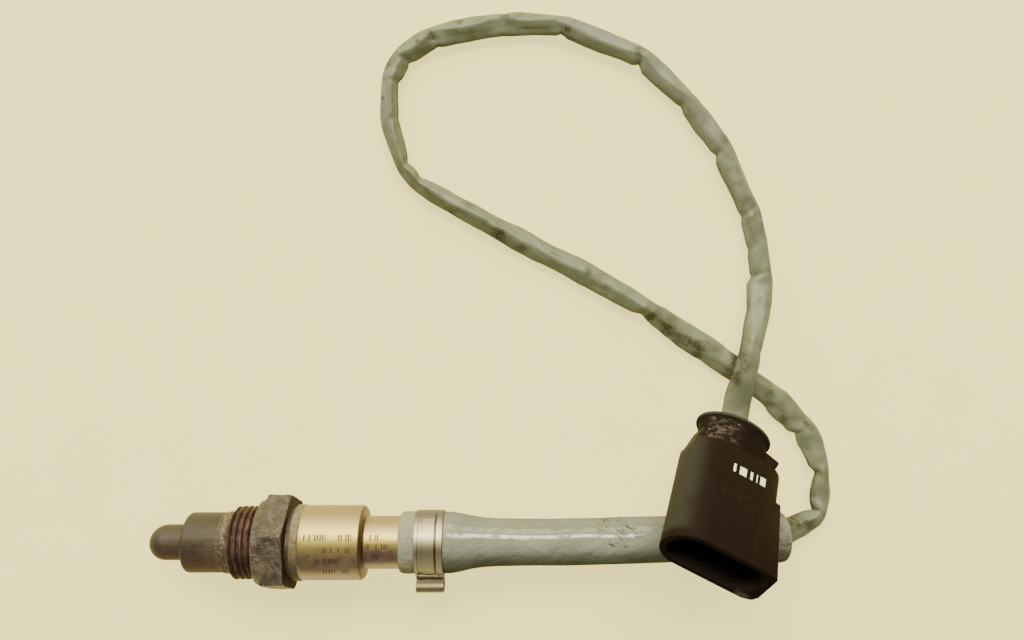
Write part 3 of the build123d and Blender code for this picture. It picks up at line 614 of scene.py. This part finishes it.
def band_radius(x, angle):
    """The band's face with its edges broken, sunk in the two slots beside the tongue."""
    slot_from, slot_to = 32, 166
    turn = angle if angle < 270 else angle - 360
    inside_slot = min(1, max(0, (turn - slot_from) / 2)) * min(1, max(0, (slot_to - turn) / 2))
    near_end = max(0, turn - slot_to + 12) / 12
    wide = 40.05 + 1.2 * near_end * near_end < x < 41.05 + 0.9 * near_end
    thin = 44.15 - 0.5 * near_end < x < 44.5 - 0.2 * near_end
    tongue = 41.05 < x < 44.15
    edge = 0.06 if x < 39.15 or x > 46.05 else 0
    return band_r - 0.3 * inside_slot * (wide or thin) - 0.06 * inside_slot * tongue - edge


band_places = [39.12, 39.2] + [39.35 + 0.1 * i for i in range(67)] + [46.0, 46.08]
band = [(clamp_start, band_bore), (clamp_start, band_edge_r)] + [(x, band_radius) for x in band_places]
band += [(clamp_end, band_edge_r), (clamp_end, band_bore)]
clamp_band = skin("clamp_band", [turned_ring(x, r, band_points) for x, r in band], True, 30)

# Half the ear's section: distance from the hose's axis and height above the ear's middle.
half_ear = [
    (7.3, 3.25), (7.72, 2.5), (8.2, 1.65), (8.75, 0.98), (9.2, 0.74), (9.6, 0.92),
    (10.0, 1.4), (10.45, 1.86), (11.0, 2.02), (11.55, 1.9), (12.0, 1.45), (12.25, 0.8),
]
ear_line = half_ear + [(12.33, 0.0)] + [(d, -z) for d, z in reversed(half_ear)]


def strip_loop(line, thickness, x, inset):
    """The section of a bent strip, thinner by inset on each face, as a loop of points at x."""
    outer, inner = [], []
    for i, (d, z) in enumerate(line):
        before, after = Vector(line[max(0, i - 1)]), Vector(line[min(len(line) - 1, i + 1)])
        way = (after - before).normalized()
        side = Vector((way.y, -way.x)) * (thickness / 2 - inset)
        outer.append((x, -(d - side.x), z - side.y))
        inner.append((x, -(d + side.x), z + side.y))
    return outer + inner[::-1]


ear_places = [(clamp_start, 0.08), (39.18, 0), (42.6, 0), (46.02, 0), (clamp_end, 0.08)]
ear_rings = [strip_loop(ear_line, strip_thickness, x, inset) for x, inset in ear_places]
ear = skin("clamp_ear", ear_rings, False, 30)

strip, point = finish("clamp_steel")
across = point.part(1)
cloud, fine = point.noise(3, 4, 0.6, seed=7), point.noise(0.3, 4, 0.7)
rolled = point.noise(0.35, 2, stretch=(1, 0.08, 0.08), seed=3)
dull = (cloud - across / 0.03 - 0.25).step(0.3, 0.8)
along = point.part(0)
up = point.part(2)
slotted = (up + across * 0.2).step(0.0028, 0.0042)
pale_slot = along.step(0.04, 0.0402) * (1 - along.step(0.0409, 0.0412)) * slotted
dark_slot = along.step(0.044, 0.0442) * (1 - along.step(0.0445, 0.0447)) * slotted
dark_edge = along.step(0.0459, 0.0461)
face = dull.blend((0.41, 0.375, 0.255), (0.39, 0.35, 0.255))
shaded = 1 - facing(point, 1, -0.6, 0.05)
face = (pale_slot * 0.7).blend(face, (0.42, 0.38, 0.28))
# Painted shade: faces turned sideways and down are a dark bluish colour.
face = (1 - facing(point, 2, 0.3, 0.8)).blend(face, (0.155, 0.141, 0.19))
# The thin slot is drawn dark, and the band's rear edge beyond 46 mm gets a painted shadow.
face = ((dark_slot + dark_edge) * 0.8).blend(face, (0.045, 0.034, 0.022))
# Painted shade: the ear, which stands out towards -Y, is darker.
face = (0.65 * (1 - across.step(-0.0092, -0.0082))).blend(face, (0.17, 0.135, 0.09))
feed(
    strip,
    face,
    0.38 + 0.14 * fine + 0.14 * dull,
    rolled * 0.2 + fine * 0.3,
    0.04,
    Metallic=1 - 0.6 * shaded,
)
for piece in (clamp_band, ear):
    piece.data.materials.append(strip)
    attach(piece, "root")
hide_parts("hose_clamp")

# ---- Plug --------------------------------------------------------------------------
# Black glass-filled plastic: a flat-sided hood with a guide rail round two rows of tinned
# pins, and an oval cup with a thin rim behind it. Scuffed on the cup; dust and painted sheen on the
# left.
# The plug's own frame: its middle, then to its right, out of its upper face and ahead.
plug_origin = Vector((120.5, 27.0, -4.92367)) * mm
plug_right = Vector((0.883631, -0.463657, -0.064952))
plug_out = Vector((0.346064, 0.553391, 0.757627))
plug_ahead = Vector((-0.315335, -0.69194, 0.649448))
# Where the painted glint sits: the lower right corner of the mouth's end.
glint_corner = plug_origin + (plug_right * 12.6 - plug_out * 7.2 + plug_ahead * 38.0) * mm


def worked_out(thing):
    """The mesh of an object with its modifiers or its curve worked out."""
    bpy.context.view_layer.update()
    ready = thing.evaluated_get(bpy.context.evaluated_depsgraph_get())
    return bpy.data.meshes.new_from_object(ready)


def rounded_copy(node, name, width):
    """A moulded copy of a CAD piece: its sharp edges are rounded by width millimetres."""
    shape = bmesh.new()
    shape.from_mesh(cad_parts[node].data)
    bmesh.ops.remove_doubles(shape, verts=shape.verts, dist=0.004 * mm)
    flat = math.radians(1.0)
    bmesh.ops.dissolve_limit(shape, angle_limit=flat, verts=shape.verts, edges=shape.edges)
    mesh = bpy.data.meshes.new(name)
    shape.to_mesh(mesh)
    shape.free()
    piece = bpy.data.objects.new(name, mesh)
    bpy.context.collection.objects.link(piece)
    soften = piece.modifiers.new("soften", "BEVEL")
    soften.width, soften.segments, soften.limit_method = width * mm, 2, "ANGLE"
    soften.angle_limit = math.radians(32)
    piece.data = worked_out(piece)
    piece.modifiers.clear()
    piece.data.shade_smooth()
    piece.data.set_sharp_from_angle(angle=math.radians(38))
    piece.data.materials.clear()
    return piece


hood = rounded_copy("plug_housing", "plug_hood", 0.3)
cup = rounded_copy("plug_rear_cap", "plug_cup", 0.22)

plastic, point = finish("plug_plastic", Specular_IOR_Level=0.06)


def plug_place(point, direction):
    """How far along a direction of the plug a point lies, in millimetres."""
    offset = point.node("VectorMath", {"operation": "SUBTRACT"}, {0: point, 1: plug_origin})
    dot = offset.node("VectorMath", {"operation": "DOT_PRODUCT"}, {0: offset, 1: direction}, 1)
    return dot * 1000


u, v, w = [plug_place(point, way) for way in (plug_right, plug_out, plug_ahead)]
fine, cloud = point.noise(0.25, 4, 0.7), point.noise(6, 3, seed=3)
lengthways = point.node("CombineXYZ", inputs={0: u * 0.0004, 1: v * 0.001, 2: w * 0.001})
scrape = lengthways.noise(1.1, 4, 0.68, seed=7)
brown = cloud.blend((0.0085, 0.0043, 0.0032), (0.0115, 0.0062, 0.0046))
# Painted shadow in the step between the cup and the hood.
seam_shadow = w.step(8.5, 8.9) * (1 - w.step(9.5, 9.9))
# The left side is greyer: dust, and a painted sheen of the room's reflection.
left_dust_and_sheen = (1 - (u + 2.5 * (cloud - 0.5)).step(-12, -6.5)) * w.step(3, 6) * (1 - w.step(35, 37.5))
cup_wear = (1 - w.step(8.6, 9.8)) * w.step(1, 1.6) * v.step(1, 4) * (1 - u.step(-4.5, 1))
scored = cup_wear * lengthways.noise(0.6, 3, 0.6, seed=19).step(0.64, 0.7)
cup_wear = cup_wear * scrape.step(0.4, 0.7)
face_rub = v.step(7.2, 7.4) * (1 - (abs(u) - 3).step(2, 4))
face_rub = face_rub * w.step(20, 22) * (1 - w.step(25, 27)) * scrape.step(0.55, 0.7) * 0.25
# The thin rim at the back of the cup is painted a pale grey-green.
pale_rim = (1 - w.step(0.6, 1.3)) * (0.7 + 0.3 * cloud.step(0.2, 0.6))


def mark(u_from, u_to):
    """One plain white bar printed on the hood's upper face."""
    w_from, w_to, soft = 14.7, 17.1, 0.15
    span = (u - u_from).step(0, soft) * (1 - (u - u_to).step(-soft, 0))
    span = span * (w - w_from).step(0, soft) * (1 - (w - w_to).step(-soft, 0))
    return span * v.step(7.2, 7.4)


bar_spans = [(-2.1, -1.3), (-0.4, 1.6), (2.5, 3.3), (4.2, 4.6), (5.2, 6.8)]
bars = sum(mark(*span) for span in bar_spans)
dust_sheen_and_pale_rim = (left_dust_and_sheen * 0.55 + pale_rim).step(0, 1)
base = dust_sheen_and_pale_rim.blend((seam_shadow * 0.7).blend(brown, (0.003, 0.002, 0.002)), (0.043, 0.043, 0.034))
base = (cup_wear * 0.8 + face_rub).step(0, 1).blend(base, (0.098, 0.077, 0.06))
base = (scored * 0.85).blend(base, (0.32, 0.27, 0.2))
feed(
    plastic,
    (bars * scrape.step(0.2, 0.45)).blend(base, (0.8, 0.78, 0.7)),
    0.6 + 0.12 * fine + 0.15 * cup_wear + 0.1 * dust_sheen_and_pale_rim,
    fine * 0.6 + scrape * cup_wear * 0.8 + cloud * 0.2,
    0.05,
)
mouth_plastic, point = finish("mouth_plastic", Specular_IOR_Level=0.0)
grain = point.noise(0.3, 3)
black = grain.blend((0.016, 0.0115, 0.0095), (0.024, 0.018, 0.015))
black = (1 - plug_place(point, plug_ahead).step(36.5, 37.6)).blend(black, (0.026, 0.019, 0.0175))
# Painted glint on that corner, grey against the black.
painted_glint = 1 - (point.distance(glint_corner) + (grain - 0.5) * 0.002).step(0.0012, 0.003)
feed(mouth_plastic, (painted_glint * 0.8).blend(black, (0.115, 0.108, 0.112)), 0.7 + 0.2 * grain, grain, 0.03)
for piece, node in ((hood, "plug_housing"), (cup, "plug_rear_cap")):
    piece.data.materials.append(plastic)
    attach(piece, "root")
    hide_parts(node)
# The mouth's end face and the walls inside it are duller than the outside and painted a greyer black,
# lighter still on the inner walls to lift the shade there; a painted glint sits on the lower right
# corner of its end.
hood.data.materials.append(mouth_plastic)
for face in hood.data.polygons:
    place = face.center - plug_origin
    deep = place.dot(plug_ahead) > 12 * mm
    inward = face.normal.dot(place - plug_ahead * place.dot(plug_ahead)) < 0
    if face.normal.dot(plug_ahead) > 0.8 or (deep and inward):
        face.material_index = 1

look = ((0.2, 0.055, 0.025), (0.28, 0.085, 0.04), (0.45, 0.2), 0.03)
seal_rubber = grained("seal_rubber", {"size": 0.6, "detail": 4}, *look, Specular_IOR_Level=0.4)
dress(seal_rubber, "plug_wire_seal")

look = ((0.5, 0.49, 0.46), (0.66, 0.65, 0.62), (0.25, 0.25), 0.015)
dress(grained("pin_metal", {"size": 0.5, "detail": 4}, *look, Metallic=1.0), "plug_pins")

look = ((0.035, 0.03, 0.028), (0.05, 0.045, 0.04), (0.5, 0.2), 0.02)
lock_plastic = grained("lock_plastic", {"size": 0.4}, *look, Specular_IOR_Level=0.4)
dress(lock_plastic, "plug_terminal_lock")

# ---- Cord --------------------------------------------------------------------------
# Five leads in a loose plastic sleeve. The sleeve has been flattened, twisted and kinked
# where it turns, and dirt has settled in its folds. It lies on the table from the hose
# end round to the plug, and humps over itself once.
cord_r = 2.8
on_table = [
    (145.2, 12.9), (143.8, 20.9), (138.7, 30.2), (129.1, 38.4), (112.6, 50.2), (92.2, 63.1), (69, 75.4),
    (49.2, 85.6), (36, 93.4), (30.4, 106.2), (29.7, 120.4), (37.6, 129.1), (51, 134), (66.4, 135.1),
    (81, 133.2), (96.4, 126.9), (109, 114.9), (118.8, 101.6), (125.8, 86),
]
cord_points = [(129.62, 0, -4.96), (137.58, 0, -5.68), (143.2, 5, -8.32)]
cord_points += [(x, y, -9.02) for x, y in on_table]
cord_points += [
    (129.2, 71.6, -8.95), (127.8, 59.6, -6.6), (125.4, 52.2, -3.6), (123.9, 46.4, -2.4),
    (122.6, 40.8, -3), (121.8, 36.6, -5.3), (121.5, 31.9, -6.72), (120.97, 28.04, -5.9),
    (119.55, 24.92, -2.98),
]
route = bpy.data.curves.new("cord_route", "CURVE")
route.dimensions = "3D"
spline = route.splines.new("NURBS")
spline.points.add(len(cord_points) - 1)
for spot, place in zip(spline.points, cord_points):
    spot.co = (*(Vector(place) * mm), 1)
spline.order_u = 3
spline.use_endpoint_u = True
spline.resolution_u = 24
route_holder = bpy.data.objects.new("cord_route", route)
bpy.context.collection.objects.link(route_holder)
fine_line = [p.co / mm for p in worked_out(route_holder).vertices]
bpy.data.objects.remove(route_holder)


def even_steps(points, step):
    """Points at even steps along a line, and its last one."""
    result, left = [points[0]], step
    for a, b in zip(points, points[1:]):
        run = (b - a).length
        done = 0.0
        while run - done >= left:
            done += left
            result.append(a.lerp(b, done / run))
            left = step
        left -= run - done
    if (result[-1] - points[-1]).length > step / 3:
        result.append(points[-1])
    return result


ring_step = 0.6
centre_line = even_steps(fine_line, ring_step)
# Where the sleeve is wide or narrow: place on the table and width across it.
widths = [
    (134, 0, 6.8), (138, 2, 6.2), (143.8, 5, 4.6), (145, 10, 5.5), (145.2, 15.5, 4.1), (144, 19, 5.5),
    (142, 23, 6.6), (141, 27, 6.3), (138, 30, 6.8), (135, 33.5, 7.4), (129, 38, 6.1), (120, 45, 6.6),
    (115, 48, 7.2), (110, 52, 6.9), (103, 56.5, 6), (100, 58.6, 5), (93, 62.5, 5.8), (86, 66.5, 6.3),
    (75, 72.5, 6), (66, 77, 6.1), (58, 81, 5.4), (46, 87.5, 5.3), (38, 92, 4.3), (34, 98, 3.9),
    (31.6, 104, 4.6), (31, 110, 5), (30.2, 118, 4.4), (32, 123.5, 5.6), (38, 129, 6),
    (47, 132.5, 6.2), (59, 134.5, 6.4), (73, 134.6, 5.5), (88, 130.5, 5.9), (96, 127, 5.4),
    (102, 122, 6), (108.5, 115, 5.1), (114, 108.5, 6), (117, 104, 5.4), (120.5, 97, 5.9),
    (124, 89, 5.4), (126, 85.5, 5.8), (127.5, 79, 5.4), (129, 70, 5.8), (128, 65, 6.9), (126, 57, 6.2),
    (124, 48, 5.3), (122.3, 44, 6.2), (122, 36, 7.2), (121.5, 30, 7), (120, 26, 6.2),
]


def nearest_steps(marks, points, reach=80):
    """The index of the line's point next to each mark, going along the line once."""
    found, start = [], 0
    for x, y, *_ in marks:
        window = range(start, min(len(points), start + reach))
        start = min(window, key=lambda i: (points[i].x - x) ** 2 + (points[i].y - y) ** 2)
        found.append(start)
    return found


spots = nearest_steps(widths, centre_line)


def sleeve_width(i):
    """The sleeve's width at the line's point i, eased between the places above."""
    if i <= spots[0]:
        return widths[0][2]
    for (a, b), (wa, wb) in zip(zip(spots, spots[1:]), zip(widths, widths[1:])):
        if i <= b:
            t = (i - a) / max(1, b - a)
            t = t * t * (3 - 2 * t)
            return wa[2] + (wb[2] - wa[2]) * t
    return widths[-1][2]


# Kinks: place on the table, depth in millimetres of the notch on the inside of the bend
# (to the left of the cord's way if the depth is positive) and of the crease across the top,
# then how far the flats of the stretch behind the kink turn towards its ends, in degrees,
# and the flats themselves: angle from the left edge, share cut off.
kinks = [
    (144.1, 4.7, 0.9, 0.15, 10, [(95, 0.2), (150, 0.14)]),
    (145, 15.4, 0.8, 0.05, -20, [(70, 0.22), (130, 0.16)]),
    (143, 22, 0.3, 0.1, 15, [(50, 0.2), (112, 0.2)]),
    (140.9, 27.5, 0.8, 0.1, -15, [(100, 0.26), (160, 0.12)]),
    (137.4, 30.3, 0.3, 0.2, -25, [(60, 0.3), (130, 0.14)]),
    (132.2, 35.8, 0, 0.1, 20, [(78, 0.28), (128, 0.2)]),
    (122.6, 42.7, 0, 0.05, -15, [(40, 0.24), (106, 0.14)]),
    (115.1, 48.2, 0.2, 0.05, -25, [(55, 0.26), (118, 0.12)]),
    (106.4, 53.8, 0, 0.15, 20, [(36, 0.32), (100, 0.16)]),
    (99.1, 59, 0.6, 0.2, -20, [(58, 0.18), (125, 0.12)]),
    (83.3, 68.1, 0, 0.15, 15, [(45, 0.2), (112, 0.14)]),
    (69.1, 75.2, 0, 0.05, -15, [(50, 0.18), (122, 0.16)]),
    (56.9, 81.8, 0.1, 0.05, 20, [(40, 0.22), (116, 0.12)]),
    (38.5, 92, -0.5, 0.1, -20, [(70, 0.28), (140, 0.12)]),
    (34.6, 96.4, -0.6, 0.1, 20, [(60, 0.24), (126, 0.2)]),
    (30.9, 108.5, -0.2, 0.1, -25, [(82, 0.22), (142, 0.12)]),
    (30.9, 119, -0.3, 0.1, 20, [(60, 0.2), (130, 0.22)]),
    (33.8, 125.3, -0.8, 0.2, -30, [(66, 0.14), (138, 0.26)]),
    (41.9, 131.1, -0.3, 0.35, -32, [(52, 0.14), (130, 0.3)]),
    (60.6, 134.6, 0.3, 0.25, -30, [(56, 0.13), (130, 0.3)]),
    (76.1, 134.2, -0.8, 0.25, -28, [(84, 0.15), (136, 0.14)]),
    (97.3, 125.7, -1.3, 0.15, -25, [(70, 0.2), (132, 0.14)]),
    (109, 114.6, -0.6, 0, -20, [(96, 0.2), (140, 0.1)]),
    (118.7, 101.4, -0.9, 0.05, 25, [(84, 0.16), (38, 0.16)]),
    (126, 85.1, -0.6, 0.3, -20, [(92, 0.18), (142, 0.1)]),
    (128, 76.1, -0.4, 0.05, 15, [(84, 0.18), (140, 0.08)]),
    (129, 68.1, -0.8, 0.35, -15, [(90, 0.15), (160, 0.1)]),
    (124.2, 49.1, 0.2, 0.1, 0, [(90, 0.08), (150, 0.06)]),
]
kink_spots = nearest_steps(kinks, centre_line)
stretches = [(0, [(108, 0.24), (40, 0.14)])] + [(swing, flats) for *_, swing, flats in kinks]
rest_z, far_off, blend_reach = -9.018, 99, 1.6


def lying(place, lift):
    """1 where the line rests on the table, falling to 0 where it is lift millimetres up."""
    return min(1, max(0, 1 - (place.z - rest_z) / lift))


def drawn_straight(i):
    """The line's point at i, pulled towards the straight run between the kinks beside it."""
    place = centre_line[i]
    corners = [(0, centre_line[0])] + [(spot, kink) for spot, kink in zip(kink_spots, kinks)]
    for (a, first), (b, second) in zip(corners, corners[1:]):
        if a <= i < b:
            t = (i - a) / (b - a)
            x, y = first[0] + (second[0] - first[0]) * t, first[1] + (second[1] - first[1]) * t
            shift = Vector((x - place.x, y - place.y, 0)) * 0.9
            held = 1 if a == 0 else lying(place, 3)
            return place + shift * (min(1, 1.5 / max(shift.length, 1e-6)) * held)
    return place.copy()


pulled = [drawn_straight(i) for i in range(len(centre_line))]
bent_line = []
for i in range(len(pulled)):
    near = pulled[max(0, i - 3):i + 4]
    bent_line.append(sum(near, Vector()) / len(near) if 3 <= i < len(pulled) - 3 else pulled[i])


def flattened(number, angle, part):
    """The radius of a stretch at an angle, as a share of its full one, with its flats cut off.
    The flats of each stretch turn towards its ends; part runs from 0 to 1 along it."""
    total = 1.0
    swing, flats = stretches[number]
    for at, cut in flats:
        towards = math.cos(angle - math.radians(at + swing * (1 - math.sin(math.pi * part))))
        if towards > 0.1:
            total += (towards / (1 - cut)) ** 11
    return total ** (-1 / 11)


def sleeve_shape(i, angle):
    """The radius of ring i as a share of its full one, blended where two stretches meet."""
    stretch = sum(1 for spot in kink_spots if spot <= i)
    from_kink = (i - kink_spots[stretch - 1]) * ring_step if stretch else far_off
    to_kink = (kink_spots[stretch] - i) * ring_step if stretch < len(kinks) else far_off
    shape = flattened(stretch, angle, from_kink / (from_kink + to_kink))
    if from_kink < blend_reach:
        t = 0.5 + from_kink / (2 * blend_reach)
        return shape * t + flattened(stretch - 1, angle, 1) * (1 - t)
    if to_kink < blend_reach:
        t = 0.5 - to_kink / (2 * blend_reach)
        return shape * (1 - t) + flattened(stretch + 1, angle, 0) * t
    return shape


def kink_depth(i, c, s):
    """How deep, in millimetres, the kinks near ring i press the sleeve in at the angle whose
    cosine and sine are c and s: a notch inside the bend, and a crease with a lip on top."""
    depth = 0
    for spot, (_, _, notch, crease, _, _) in zip(kink_spots, kinks):
        gap = (i - spot) * ring_step
        if abs(gap) < 6:
            side = c if notch > 0 else -c
            gap -= 0.9 * side
            dent = max(0, 1 - abs(gap) / 2.2) ** 1.3 * max(0, side) ** 1.2
            fold = max(0, 1 - abs(gap) / 0.7) * max(0, s)
            rise = math.exp(-((gap - 1.6) / 0.9) ** 2) * max(0, s) ** 2
            depth += abs(notch) * dent + crease * (fold - 0.5 * rise)
    return depth


cord_points_round = 48
cord_rings, cord_path = [], []
for i, centre in enumerate(bent_line):
    before, after = bent_line[max(0, i - 2)], bent_line[min(len(bent_line) - 1, i + 2)]
    ahead = (after - before).normalized()
    left = Vector((0, 0, 1)).cross(ahead).normalized()
    over = ahead.cross(left)
    # The wider the sleeve has been pressed, the flatter it is.
    half = sleeve_width(i) / 2
    tall = min(2.95, max(2.0, 5.45 - half))
    resting = lying(centre, 2.5)
    sunk = -(cord_r - tall) * resting
    out_of_hose = min(1, i / 8)
    ring = []
    for j in range(cord_points_round):
        angle = 2 * math.pi * j / cord_points_round
        c, s = math.cos(angle), math.sin(angle)
        soft = noise.noise(Vector((c * 1.2, s * 1.2, i * ring_step / 9)))
        small = noise.noise(Vector((c * 2.5, s * 2.5, i * ring_step / 3 + 40)))
        shape = sleeve_shape(i, angle) + (0.09 * soft + 0.035 * small) - kink_depth(i, c, s) / half
        shape = 1 + (shape - 1) * out_of_hose
        ring.append(centre + left * (c * half * shape) + over * (s * tall * shape + sunk))
    # The sleeve lies on the table and doesn't sink into it.
    if resting > 0.5:
        for p in ring:
            p.z = max(p.z, floor_z / mm + 0.02)
    cord_rings.append(ring)
    cord_path.append(centre_line[i] * mm)
cord = skin("sleeved_cord", cord_rings, False, 50)

sleeve_plastic, point = finish("cord_sleeve", Specular_IOR_Level=0.0, Coat_Roughness=0.38)
cloud, fine = point.noise(6, 3, seed=11), point.noise(0.5, 4, 0.65)
soil = point.noise(5.5, 4, 0.62, seed=21)
stain = point.noise(1.3, 5, 0.72, seed=31)
table_place = point.node("VectorMath", {"operation": "MULTIPLY"}, {0: point, 1: (1, 1, 0)})


def round_patch(x, y, size):
    """1 in the middle of a ragged round patch of about size millimetres, 0 outside it; it makes the
    dirt marks and one painted patch of light.
    """
    away = table_place.distance((x * mm, y * mm, 0)) + (cloud - 0.5) * (3.0 * size * mm)
    return 1 - away.step(-0.1 * size * mm, 1.4 * size * mm)


dirt_marks = [
    (42.1, 131.2, 2), (38.4, 129.4, 1), (29.4, 123.5, 2.2), (29.1, 114.3, 1.2), (83.5, 68.9, 1.2),
    (99.6, 57, 1.4), (122.1, 47.3, 3), (122.6, 43.6, 2.4), (134.8, 31, 2.6), (140.6, 29, 1.2),
    (142.2, 10.2, 1.6), (111.8, 49.6, 3), (120.5, 41, 2), (96, 127, 2.4), (77.5, 132.2, 1.4),
    (47, 85.4, 2), (60, 78.9, 2.4), (66, 75.2, 2.2), (131, 37.5, 2.6), (103.5, 53.8, 2.2),
    (107.5, 51, 2.6), (136.8, 4.2, 3), (141, 2.6, 2.2), (61.2, 136.5, 1.6), (49.5, 134.6, 1.4),
]
marks = sum(round_patch(*mark) for mark in dirt_marks)
grey = cloud.step(0.3, 0.7).blend((0.138, 0.158, 0.104), (0.184, 0.206, 0.146))
# Painted light: the right-hand limb is lighter, its shaded underside most of all.
lightened_limb = point.part(0).step(0.07, 0.09) * point.part(1).step(0.062, 0.08)
grey = (lightened_limb * 0.75).blend(grey, (0.18, 0.196, 0.152))
# A painted patch of light lifts the shaded slope where the cord climbs to the plug.
grey = (round_patch(121.2, 29.5, 9.0) * 0.8).blend(grey, (0.215, 0.235, 0.18))
olive = (soil.step(0.5, 0.68) * 0.5 + fine * 0.12).blend(grey, (0.078, 0.08, 0.042))
# Painted shade: faces turned down, less so towards +Y, are darker and bluer against the table's warm
# light.
underside_shade = (1 - facing(point, 2, -0.05, 0.6)) * (1 - 0.6 * facing(point, 1, 0, 0.7))
shade = lightened_limb.blend((0.068, 0.078, 0.092), (0.125, 0.137, 0.14))
olive = underside_shade.blend(olive, shade)
grit = point.noise(0.5, 4, 0.7, seed=37).step(0.42, 0.62)
freckles = stain.step(0.62, 0.72) * soil.step(0.45, 0.6) * 0.6
dark = (marks * (0.5 + 0.5 * grit) + freckles).step(0, 1)
feed(
    sleeve_plastic,
    (dark * 0.85).blend(olive, (0.04, 0.03, 0.015)),
    0.46 + 0.15 * fine + 0.2 * dark,
    stain * 0.4 + fine * 0.2,
    0.08,
    Coat_Weight=(0.55 - 0.45 * dark) * facing(point, 2, 0.25, 0.65),
)
cord.data.materials.append(sleeve_plastic)
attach(cord, "root")
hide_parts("cord")
